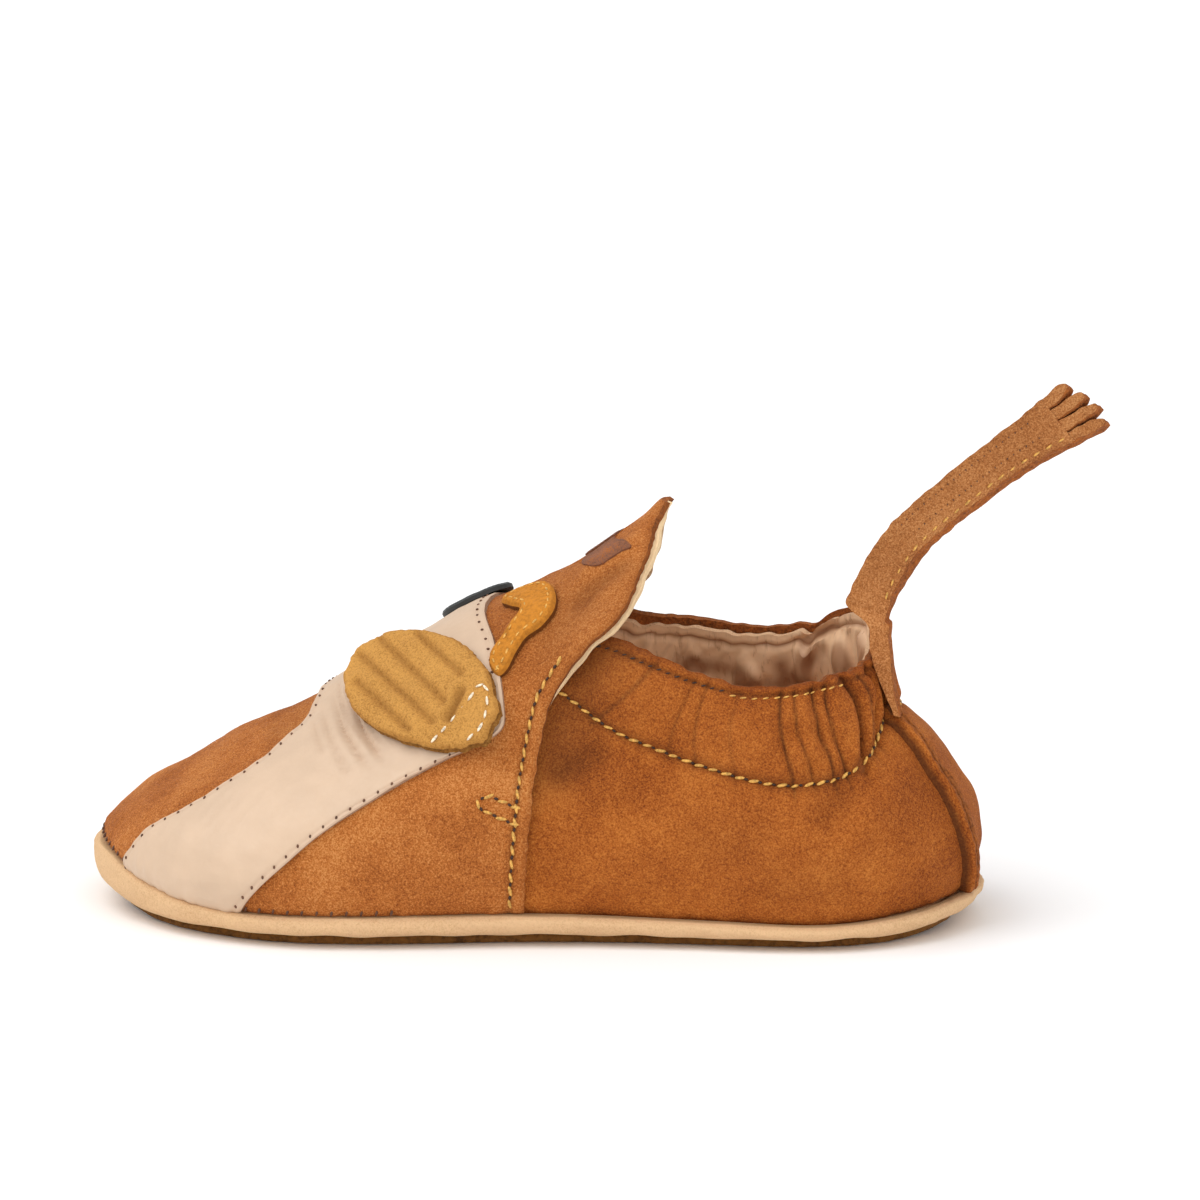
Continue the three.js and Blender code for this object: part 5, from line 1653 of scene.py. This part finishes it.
def back_seam_piece(last, skins):
    """Two raw edges side by side that stand out of the back seam."""
    s = last.sizes
    rows = 110
    foot = float(last.foot(np.array([-1.0]))[0])
    top = s.collar_height - s.casing_depth - s.seam_height + 1.2 * MM
    z = np.linspace(foot + 0.1 * MM, top, rows)
    aside = BACK_SEAM.read("aside", z / s.collar_height) * s.heel_width
    section = [
        (-1.15, -0.4), (-1.0, 0.35), (-0.86, 0.85), (-0.55, 1.0), (-0.15, 0.96), (-0.02, 0.72), (0.12, 0.94),
        (0.5, 0.97), (0.84, 0.8), (1.0, 0.35), (1.15, -0.4),
    ]
    grid = []
    end = smooth((top - z) / (2.5 * MM)) * 0.75 + 0.25
    for across, out in section:
        around = last.beside_back(z, aside + across * s.seam_width / 2)
        relief, _ = last.quarter_relief(around, z)
        p = last.skin(around, z, relief + out * end * s.seam_height)
        p = p + last.normal(around, z) * (0.1 * MM * ripple(p, 1.8 * MM, 101) * max(out, 0))[:, None]
        p[:, 1] += 0.08 * MM * ripple(p, 2.3 * MM, 102)
        grid.append(p)
    grid = np.array(grid)
    rows_count, columns = grid.shape[:2]
    faces = grid_faces(rows_count, columns, True, False).tolist()
    index = np.arange(rows_count * columns).reshape(rows_count, columns)
    faces += [index[::-1, 0].tolist(), index[:, -1].tolist()]
    kinds = [1 if i // (columns - 1) in (3, 4, 5, 6) else 0 for i in range(len(faces))]
    # Painted shade at the feet of the two edges and in the slit between them.
    fold = np.array([1.0 if out < 0.4 else 0.8 if abs(across) < 0.05 else 0 for across, out in section])
    marks = {"fold": np.repeat(fold, columns)}
    return new_object("back_seam_edges", grid, faces, [skins["quarter"], skins["raw"]], kinds, marks)


def tail_edges(last):
    """Left and right edge of the tail in the side view, from the casing seam to the tuft, and how it ends."""
    s = last.sizes
    rim_back = float(last.levels.read("back", s.collar_height)) * last.half
    start = np.array([rim_back - s.tail_width / 4, s.collar_height])

    def middle(t):
        return start + np.stack([TAIL.read("reach", t) * s.tail_reach, t * s.tail_rise], axis=-1)

    t = np.linspace(0, 1, 110)
    here = middle(t)
    along = middle(np.minimum(t + 0.02, 1)) - middle(np.maximum(t - 0.02, 0))
    along /= np.linalg.norm(along, axis=1, keepdims=True)
    half = TAIL.read("width", t) * s.tail_width / 2
    square = np.stack([-along[:, 1], along[:, 0]], axis=1)
    left, right = here + square * half[:, None], here - square * half[:, None]
    z = np.linspace(s.collar_height - s.casing_depth - s.seam_height + s.gap, s.collar_height - 0.5 * MM, 34)
    out = last.levels.read("back", z) * last.half + s.casing_puff * 0.6
    narrow = mix(0.35, 1, smooth((z - z[0]) / (0.7 * (z[-1] - z[0]))))
    foot_right = np.stack([out + s.tail_stand * narrow, z], axis=1)
    foot_left = np.stack([out - 1.7 * MM * narrow, z], axis=1)
    left, right = np.concatenate([foot_left, left]), np.concatenate([foot_right, right])
    for _ in range(5):
        for line in (left, right):
            line[1:-1] = 0.25 * line[:-2] + 0.5 * line[1:-1] + 0.25 * line[2:]
    return left, right, along[-1]


def tail_middle(last, z):
    """Place across the shoe of the tail's middle, and its turn away from the side view, at some heights."""
    s = last.sizes
    above = smooth((z - s.collar_height + 2 * MM) / (9 * MM))
    y = -BACK_SEAM.read("aside", np.minimum(z / s.collar_height, 1)) * s.heel_width
    return y - 1.1 * MM * (1 - above), math.tan(TAIL_TURN) * above


def strip_mesh(left, right, middle, turn, thickness, groove, seed):
    """Points, faces and kinds of a turned strap between two edges, whose two layers meet in a groove."""
    faces_across = 12
    section = [(t, 0.0) for t in np.linspace(0, 1, faces_across)]
    section += [(1.0, k) for k in (0.18, 0.36, 0.5, 0.64, 0.82)]
    section += [(t, 1.0) for t in np.linspace(1, 0, faces_across)]
    section += [(0.0, k) for k in (0.82, 0.64, 0.5, 0.36, 0.18)]
    width = np.linalg.norm(right - left, axis=1)
    step = (right - left) / width[:, None]
    grid = []
    for across, deep in section:
        inward = 0.0
        if across in (0.0, 1.0):
            inward = (1 - 2 * across) * (groove * mound(deep - 0.5, 0.13) + 0.12 * MM * (deep in (0.0, 1.0)))
        shift = inward + (deep - 0.5) * thickness * turn
        p = mix(left, right, across) + step * np.broadcast_to(shift, width.shape)[:, None]
        y = middle + (deep - 0.5) * thickness + (across - 0.5) * width * turn
        q = np.stack([p[:, 0], np.broadcast_to(y, width.shape), p[:, 1]], axis=1)
        wave = [ripple(q, 2.2 * MM, seed), ripple(q, 3 * MM, seed + 1), ripple(q, 2.2 * MM, seed + 2)]
        grid.append(q + 0.08 * MM * np.stack(wave, axis=1))
    grid = np.array(grid)
    rows, columns = grid.shape[:2]
    faces = grid_faces(rows, columns, True, False).tolist()
    index = np.arange(rows * columns).reshape(rows, columns)
    kinds = []
    for i in range(len(faces)):
        row = i // (columns - 1)
        kinds.append(1 if faces_across - 1 <= row < faces_across + 5 or row >= 2 * faces_across + 4 else 0)
    faces += [index[::-1, 0].tolist(), index[:, -1].tolist()]
    kinds += [1, 1]
    return grid.reshape(-1, 3), faces, kinds


def tail_piece(last, skins):
    """Strap tail that rises from the back seam and ends in a slit tuft."""
    s = last.sizes
    left, right, along = tail_edges(last)
    middle, turn = tail_middle(last, (left[:, 1] + right[:, 1]) / 2)
    thick = mix(1.35, 1.0, smooth((left[:, 1] - s.collar_height + 4 * MM) / (8 * MM))) * s.tail_thickness
    points, faces, kinds = strip_mesh(left, right, middle, turn, thick, 0.22 * MM, 111)
    points, faces = [points], [list(f) for f in faces]
    offset = len(points[0])
    across = right[-1] - left[-1]
    width = np.linalg.norm(across)
    across = across / width
    strips = len(TUFT_REACHES)
    for i, reach in enumerate(TUFT_REACHES):
        low, high = (i + 0.02) * width / strips, (i + 0.98) * width / strips
        t = np.linspace(0, 1, 26)[:, None]
        centre, half = (low + high) / 2, (high - low) / 2 * (1 - 0.6 * t**9)
        base = left[-1] - along * 0.7 * MM + across * width / 2
        bend = along * (s.tuft_length * reach + 0.7 * MM) * t + across * ((i - 1.5) * 0.22 * MM * t**2)
        middle_line = base + bend + across * ((centre - width / 2) * (1 + s.tuft_spread * t))
        lean = (((i * 5) % 4) - 1.5) * 0.35 * MM * t[:, 0] ** 1.5
        here = float(middle[-1]) + (centre - width / 2) * float(turn[-1]) + lean
        p, f, k = strip_mesh(
            middle_line - across * half, middle_line + across * half, here, float(turn[-1]),
            s.tail_thickness * 0.94, 0.15 * MM, 120 + i,
        )
        points.append(p)
        faces += [[v + offset for v in face] for face in f]
        kinds += k
        offset += len(p)
    points = np.concatenate(points)
    return new_object("tail_strap", points, faces, [skins["tail"], skins["raw"]], kinds)


# Stitches


def stitch_tree():
    """Geometry nodes that lay a stitch on each step of the lines in a mesh."""
    name = "Stitches"
    if name in bpy.data.node_groups:
        return bpy.data.node_groups[name]
    tree = bpy.data.node_groups.new(name, "GeometryNodeTree")
    face = tree.interface
    face.new_socket(name="Geometry", in_out="INPUT", socket_type="NodeSocketGeometry")
    for label, default in (
        ("Pitch", 2 * MM), ("Stitch Length", 1.6 * MM), ("Thread Width", 0.5 * MM), ("Slant", 0.0),
        ("Unevenness", 0.1)
    ):
        face.new_socket(name=label, in_out="INPUT", socket_type="NodeSocketFloat").default_value = default
    face.new_socket(name="Material", in_out="INPUT", socket_type="NodeSocketMaterial")
    face.new_socket(name="Geometry", in_out="OUTPUT", socket_type="NodeSocketGeometry")
    given = tree.nodes.new("NodeGroupInput").outputs
    curve = add_node(tree, "GeometryNodeMeshToCurve", {"Mesh": given["Geometry"]})
    steps = add_node(
        tree, "GeometryNodeResampleCurve", {"Curve": curve.outputs[0], "Length": given["Pitch"]},
        mode="LENGTH"
    )
    tangent = tree.nodes.new("GeometryNodeInputTangent").outputs[0]
    out = add_node(
        tree, "GeometryNodeInputNamedAttribute", {"Name": "out"}, data_type="FLOAT_VECTOR"
    ).outputs["Attribute"]
    along = add_node(tree, "FunctionNodeAlignRotationToVector", {"Vector": tangent}, axis="X")
    upright = add_node(
        tree, "FunctionNodeAlignRotationToVector", {"Rotation": along.outputs[0], "Vector": out}, axis="Z",
        pivot_axis="X"
    )
    bead = add_node(tree, "GeometryNodeMeshUVSphere", {"Segments": 8, "Rings": 6, "Radius": 0.5})
    shape = add_node(
        tree, "ShaderNodeCombineXYZ",
        {0: given["Stitch Length"], 1: given["Thread Width"], 2: given["Thread Width"]}
    )
    turn = add_node(tree, "ShaderNodeCombineXYZ", {2: given["Slant"]})
    stitch = add_node(
        tree, "GeometryNodeTransform",
        {"Geometry": bead.outputs["Mesh"], "Rotation": turn.outputs[0], "Scale": shape.outputs[0]},
    )
    uneven = math_node(tree, "SUBTRACT", 1.0, given["Unevenness"])
    more = plus(tree, 1.0, given["Unevenness"])
    chance = add_node(
        tree, "FunctionNodeRandomValue", {2: uneven, 3: more, "Seed": 7}, data_type="FLOAT"
    ).outputs[1]
    laid = add_node(
        tree, "GeometryNodeInstanceOnPoints",
        {
            "Points": steps.outputs[0], "Instance": stitch.outputs[0], "Rotation": upright.outputs[0],
            "Scale": chance
        },
    )
    real = add_node(tree, "GeometryNodeRealizeInstances", {"Geometry": laid.outputs[0]})
    soft = add_node(tree, "GeometryNodeSetShadeSmooth", {"Geometry": real.outputs[0]})
    dressed = add_node(
        tree, "GeometryNodeSetMaterial", {"Geometry": soft.outputs[0], "Material": given["Material"]}
    )
    output = tree.nodes.new("NodeGroupOutput")
    tree.links.new(dressed.outputs[0], output.inputs[0])
    return tree


def sewn(name, rows, material, pitch, length, width, slant):
    """One mesh with a stitch on each step of some rows, each a pair of points and outward directions."""
    points = np.concatenate([p for p, _ in rows])
    outs = np.concatenate([o for _, o in rows])
    edges, start = [], 0
    for p, _ in rows:
        edges += [(start + i, start + i + 1) for i in range(len(p) - 1)]
        start += len(p)
    mesh = bpy.data.meshes.new(name + "_lines")
    mesh.from_pydata(points.tolist(), edges, [])
    mesh.attributes.new("out", "FLOAT_VECTOR", "POINT").data.foreach_set(
        "vector", outs.astype(np.float32).ravel()
    )
    lines = bpy.data.objects.new(name + "_lines", mesh)
    bpy.context.scene.collection.objects.link(lines)
    tree = stitch_tree()
    modifier = lines.modifiers.new("Stitches", "NODES")
    modifier.node_group = tree
    keys = {i.name: i.identifier for i in tree.interface.items_tree if i.in_out == "INPUT"}
    values = {
        "Pitch": pitch, "Stitch Length": length, "Thread Width": width, "Slant": slant,
        "Unevenness": STITCH_UNEVENNESS, "Material": material,
    }
    for label, value in values.items():
        modifier[keys[label]] = value
    bpy.context.view_layer.update()
    evaluated = lines.evaluated_get(bpy.context.evaluated_depsgraph_get())
    made = bpy.data.meshes.new_from_object(evaluated)
    made.name = name
    bpy.data.objects.remove(lines)
    obj = bpy.data.objects.new(name, made)
    bpy.context.scene.collection.objects.link(obj)
    return obj


def shifted(row, distance):
    """The same row with its start moved along it, so that what it carries falls between the stitches."""
    points, outs = row
    lengths = np.concatenate([[0], np.cumsum(np.linalg.norm(np.diff(points, axis=0), axis=1))])
    at = np.linspace(distance, lengths[-1] - distance, len(points))
    move = lambda v: np.stack([np.interp(at, lengths, v[:, i]) for i in range(3)], axis=1)
    return move(points), move(outs)


def casing_row(last, side):
    """Stitch row along the casing seam of one side."""
    first = abs(float(last.around_at(side, 0.8 * last.sizes.collar_height, 0.075 * last.half)))
    around = side * np.linspace(first, 0.925 if side < 0 else 1.025, 260)
    z = last.casing_seam(around)
    relief, _ = last.quarter_relief(around, z)
    return last.skin(around, z, relief + 0.16 * MM), last.normal(around, z)


def rim_row(last, side, first, end, below):
    """Stitch row under the rim of one side between two shares around."""
    around = side * np.linspace(first, end, 160)
    z = last.rim(around) - below
    relief, _ = last.quarter_relief(around, z)
    return last.skin(around, z, relief + 0.1 * MM), last.normal(around, z)


def vamp_row(last, side, low, high):
    """Stitch row beside the vamp's rear edge between two heights in shares of the instep height."""
    z = np.linspace(low, high, 160) * last.sizes.instep_height
    around = last.around_at(side, z, last.vamp_edge(side, z) - VAMP_ROW_INSET)
    return last.on_vamp(side, around, z, THREAD_RISE), last.normal(around, z)


def side_row(last, side, places):
    """Stitch row through places seen from the side, on the vamp."""
    line = rounded(np.array(places) * (last.half, last.sizes.instep_height), closed=False)
    around = last.around_at(side, line[:, 1], line[:, 0])
    return last.on_vamp(side, around, line[:, 1], THREAD_RISE), last.normal(around, line[:, 1])


def overlay_rows(last):
    """Stitch rows inside both edges of the overlay."""
    s = last.sizes
    side, around, z, u = overlay_places(last, 60, OVERLAY_GRID[1])
    p = last.point(around, z)
    width = np.linalg.norm(np.diff(p, axis=1), axis=-1).sum(1)
    rows = []
    for front in (True, False):
        share = np.clip(OVERLAY_ROW_INSET / width, 0, 0.3)
        share = share if front else 1 - share
        line_around = np.array([np.interp(t, u, row) for t, row in zip(share, around)])
        line_z = np.array([np.interp(t, u, row) for t, row in zip(share, z)])
        relief, _ = last.vamp_relief(side[:, 0], line_around, line_z)
        points = last.skin(line_around, line_z, relief + s.gap + s.overlay - 0.1 * MM)
        rows.append((points, last.normal(line_around, line_z)))
    return rows


def feather_row(last):
    """Row of small stitches in the crease between upper and sole, round the toe."""
    around = np.linspace(-0.42, 0.42, 400)
    z = last.foot(around) + 0.75 * MM
    return last.skin(around, z, np.full(around.shape, 0.62 * MM)), last.normal(around, z)


def ear_row(last, name):
    _, place, own = ear_frame(last, name)
    flat = evenly(own(EAR_STITCHES), 0.3 * MM)
    points = place(flat, np.full(len(flat), last.sizes.ear_thickness + EAR_THREAD_RISE))
    above = place(flat, np.full(len(flat), last.sizes.ear_thickness + 1 * MM))
    out = above - points
    return points, out / np.linalg.norm(out, axis=1, keepdims=True)


def horn_row(last, name):
    """Stitch row inside a horn's edge."""
    outline = evenly(horn_outline(last), 0.4 * MM, closed=True)
    along = np.roll(outline, -1, axis=0) - np.roll(outline, 1, axis=0)
    along /= np.linalg.norm(along, axis=1, keepdims=True)
    square = np.stack([-along[:, 1], along[:, 0]], axis=1)
    sign = 1 if within(outline[:1] + square[:1] * 0.2 * MM, outline)[0] else -1
    line = outline + sign * square * HORN_ROW_INSET
    line = line[distance_to(line, outline, closed=True) > 0.9 * HORN_ROW_INSET]
    place = horn_place(last, name)
    thick = last.sizes.horn_thickness + last.sizes.gap
    points = place(line, np.full(len(line), thick + 0.02 * MM))
    out = place(line, np.full(len(line), thick + 1 * MM)) - points
    return points, out / np.linalg.norm(out, axis=1, keepdims=True)


def tail_row(last, share, low, high):
    """Row along the tail's face at a share across it, between two shares of its rise."""
    s = last.sizes
    left, right, _ = tail_edges(last)
    z = (left[:, 1] + right[:, 1]) / 2
    keep = (z > s.collar_height + low * s.tail_rise) & (z < s.collar_height + high * s.tail_rise)
    left, right = left[keep], right[keep]
    middle, turn = tail_middle(last, z[keep])
    width = np.linalg.norm(right - left, axis=1)
    step = (right - left) / width[:, None]
    p = mix(left, right, share) - step * (s.tail_thickness / 2 * turn)[:, None]
    y = middle - s.tail_thickness / 2 + (share - 0.5) * width * turn - 0.03 * MM
    out = np.stack([step[:, 0] * turn, -np.ones(len(p)), step[:, 1] * turn], axis=1)
    return np.stack([p[:, 0], y, p[:, 1]], axis=1), out / np.linalg.norm(out, axis=1, keepdims=True)


# Operators


class SLIPPER_OT_camera(bpy.types.Operator):
    """Sets the camera at the photograph's place"""

    bl_idname = "slipper.camera"
    bl_label = "Camera"

    def execute(self, context):
        azimuth, elevation, roll = (math.radians(a) for a in CAMERA_ANGLES)
        toward = Vector(
            (
                math.sin(azimuth) * math.cos(elevation), -math.cos(azimuth) * math.cos(elevation),
                math.sin(elevation)
            )
        )
        data = bpy.data.cameras.new("camera")
        data.sensor_width = SENSOR_WIDTH
        data.lens = SENSOR_WIDTH * CAMERA_DISTANCE / (FRAME_PIXELS / PIXELS_PER_MM * MM)
        data.shift_x = 0.5 - TARGET_PIXEL[0] / FRAME_PIXELS
        data.shift_y = TARGET_PIXEL[1] / FRAME_PIXELS - 0.5
        data.clip_start = 0.01
        camera = bpy.data.objects.new("camera", data)
        context.scene.collection.objects.link(camera)
        right = Vector((math.cos(azimuth), math.sin(azimuth), 0))
        up = toward.cross(right)
        rolled_right = right * math.cos(roll) + up * math.sin(roll)
        rolled_up = up * math.cos(roll) - right * math.sin(roll)
        turn = Matrix((rolled_right, rolled_up, toward)).transposed()
        place = Vector(CAMERA_TARGET) + toward * CAMERA_DISTANCE
        camera.matrix_world = Matrix.Translation(place) @ turn.to_4x4()
        context.scene.camera = camera
        return {"FINISHED"}


class SLIPPER_OT_stage(bpy.types.Operator):
    """Adds a plain pale floor and soft studio light"""

    bl_idname = "slipper.stage"
    bl_label = "Stage"

    def execute(self, context):
        scene = context.scene
        scene.view_settings.view_transform = "Standard"
        scene.view_settings.look = "None"
        world = bpy.data.worlds.new("studio")
        world.use_nodes = True
        background = world.node_tree.nodes["Background"].inputs
        background["Color"].default_value = (1, 1, 1, 1)
        background["Strength"].default_value = SURROUNDINGS
        scene.world = world
        mesh = bpy.data.meshes.new("floor")
        corners = [(x * FLOOR_HALF, y * FLOOR_HALF, 0) for x, y in ((-1, -1), (1, -1), (1, 1), (-1, 1))]
        mesh.from_pydata(corners, [], [(0, 1, 2, 3)])
        material, tree, shader, where = new_material("pale_floor")
        tone = scaled(tree, noise(tree, where, 3.0), 0.3, 0.7, 0.955, 0.965)
        tint = add_node(tree, "ShaderNodeCombineColor", {0: tone, 1: tone, 2: tone}).outputs[0]
        tree.links.new(tint, shader.inputs["Base Color"])
        shader.inputs["Roughness"].default_value = 0.9
        shader.inputs["Specular IOR Level"].default_value = 0.0
        mesh.materials.append(material)
        floor = bpy.data.objects.new("floor", mesh)
        scene.collection.objects.link(floor)
        floor.location.z = -0.05 * MM
        for name, place, strength, softness in LAMPS:
            data = bpy.data.lights.new(name, "SUN")
            data.energy = strength
            data.angle = math.radians(softness)
            light = bpy.data.objects.new(name, data)
            light.location = place
            light.rotation_euler = (-Vector(place)).to_track_quat("-Z", "Y").to_euler()
            scene.collection.objects.link(light)
        return {"FINISHED"}


class SLIPPER_OT_sole(bpy.types.Operator):
    """Builds the sole's band, the outsole and the sock inside"""

    bl_idname = "slipper.sole"
    bl_label = "Sole"

    def execute(self, context):
        last, skins = the_last(context), leathers(context)
        finished(sole_piece(last, skins), "sole_leather", "sole")
        finished(outsole_piece(last, skins), "outsole_suede", "outsole")
        finished(insole_piece(last, skins), "sock", "insole")
        return {"FINISHED"}


class SLIPPER_OT_upper(bpy.types.Operator):
    """Builds the quarter, its lining, the vamp and the vamp's lining"""

    bl_idname = "slipper.upper"
    bl_label = "Upper"

    def execute(self, context):
        last, skins = the_last(context), leathers(context)
        finished(quarter_piece(last, skins), "nubuck", "upper")
        finished(vamp_piece(last, skins), "nubuck")
        finished(lining_piece(last, skins), "sock")
        finished(vamp_lining_piece(last, skins), "sock")
        return {"FINISHED"}


class SLIPPER_OT_face(bpy.types.Operator):
    """Builds the overlay, ears, horns, dark patch and forelock"""

    bl_idname = "slipper.face"
    bl_label = "Face"

    def execute(self, context):
        last, skins = the_last(context), leathers(context)
        finished(overlay_piece(last, skins), "pale_leather", "face_overlay")
        for name in SIDES:
            finished(ear_piece(last, skins, name), "mustard_suede", f"ear_{name}")
            finished(horn_piece(last, skins, name), "mustard_suede", f"horn_{name}")
            finished(forelock_piece(last, skins, name), "mauve_suede", f"forelock_{name}")
        finished(patch_piece(last, skins), "dark_leather", "dark_patch")
        return {"FINISHED"}


class SLIPPER_OT_tail(bpy.types.Operator):
    """Builds the raised back seam and the tail"""

    bl_idname = "slipper.tail"
    bl_label = "Back seam and tail"

    def execute(self, context):
        last, skins = the_last(context), leathers(context)
        finished(back_seam_piece(last, skins), "nubuck", "back_seam")
        finished(tail_piece(last, skins), "nubuck", "tail")
        return {"FINISHED"}


class SLIPPER_OT_stitching(bpy.types.Operator):
    """Sews every row of stitches"""

    bl_idname = "slipper.stitching"
    bl_label = "Stitching"

    def execute(self, context):
        last, skins = the_last(context), leathers(context)
        s = last.sizes
        both = (-1, 1)
        gold_rows = [casing_row(last, side) for side in both]
        gold_rows += [vamp_row(last, side, 0.14, 0.84) for side in both]
        gold_rows += [side_row(last, side, BAR_TACK) for side in both]
        # Name, rows, thread, pitch, length and width of a stitch, and its turn out of the row.
        rows = [
            ("casing_stitches", gold_rows, "gold", s.pitch, 1.55 * MM, s.thread, 0.28),
            # Near-black beads between the gold stitches: painted shade of the needle holes.
            (
                "casing_holes", [shifted(r, s.pitch / 2) for r in gold_rows], "hole", s.pitch, 0.62 * MM,
                0.42 * MM, 0.0
            ),
            (
                "rim_stitches", [rim_row(last, side, 0.68, 0.84, 1.6 * MM) for side in both], "gold",
                1.6 * MM, 1.0 * MM, 0.28 * MM, 0.2
            ),
            (
                "rim_zigzag", [rim_row(last, side, 0.4, 0.66, 1.3 * MM) for side in both], "hole", 1.3 * MM,
                0.8 * MM, 0.24 * MM, 0.5
            ),
            (
                "horn_stitches", [horn_row(last, name) for name in SIDES], "gold", 1.5 * MM, 0.95 * MM,
                0.3 * MM, 0.1
            ),
            (
                "ear_stitches", [ear_row(last, name) for name in SIDES], "white", 1.9 * MM, 1.4 * MM,
                0.4 * MM, 0.1
            ),
            ("face_stitches", overlay_rows(last), "brown", 2.26 * MM, 0.55 * MM, 0.36 * MM, 0.9),
            ("toe_stitches", [feather_row(last)], "brown", 2.1 * MM, 0.95 * MM, 0.4 * MM, 1.3),
            # Small brown beads in two rows: painted shade of the holes along the tail.
            (
                "tail_holes", [tail_row(last, k, 0.42, 0.93) for k in (0.22, 0.6)], "brown", 1.05 * MM,
                0.3 * MM, 0.2 * MM, 1.3
            ),
            (
                "tail_stitches", [tail_row(last, 0.86, 0.12, 0.98)], "gold", 1.9 * MM, 1.1 * MM, 0.32 * MM,
                0.15
            ),
        ]
        for name, lines, thread, pitch, length, width, slant in rows:
            finished(sewn(name, lines, skins[thread], pitch, length, width, slant), "nubuck")
        return {"FINISHED"}


class SLIPPER_PT_panel(bpy.types.Panel):
    """Lists the slipper's pieces in the sidebar"""

    bl_idname = "SLIPPER_PT_panel"
    bl_label = "Leather slipper"
    bl_space_type = "VIEW_3D"
    bl_region_type = "UI"
    bl_category = "Slipper"

    def draw(self, context):
        for operator in OPERATORS:
            self.layout.operator(operator.bl_idname)


OPERATORS = (
    SLIPPER_OT_camera,
    SLIPPER_OT_stage,
    SLIPPER_OT_sole,
    SLIPPER_OT_upper,
    SLIPPER_OT_face,
    SLIPPER_OT_tail,
    SLIPPER_OT_stitching,
)
CLASSES = (SlipperSizes, SlipperColours, *OPERATORS, SLIPPER_PT_panel)


def register():
    for cls in CLASSES:
        bpy.utils.register_class(cls)
    bpy.types.Scene.slipper_sizes = PointerProperty(type=SlipperSizes)
    bpy.types.Scene.slipper_colours = PointerProperty(type=SlipperColours)


def unregister():
    del bpy.types.Scene.slipper_colours
    del bpy.types.Scene.slipper_sizes
    for cls in reversed(CLASSES):
        bpy.utils.unregister_class(cls)


def main():
    register()
    for operator in OPERATORS:
        group, name = operator.bl_idname.split(".")
        getattr(getattr(bpy.ops, group), name)()


if __name__ == "__main__":
    main()
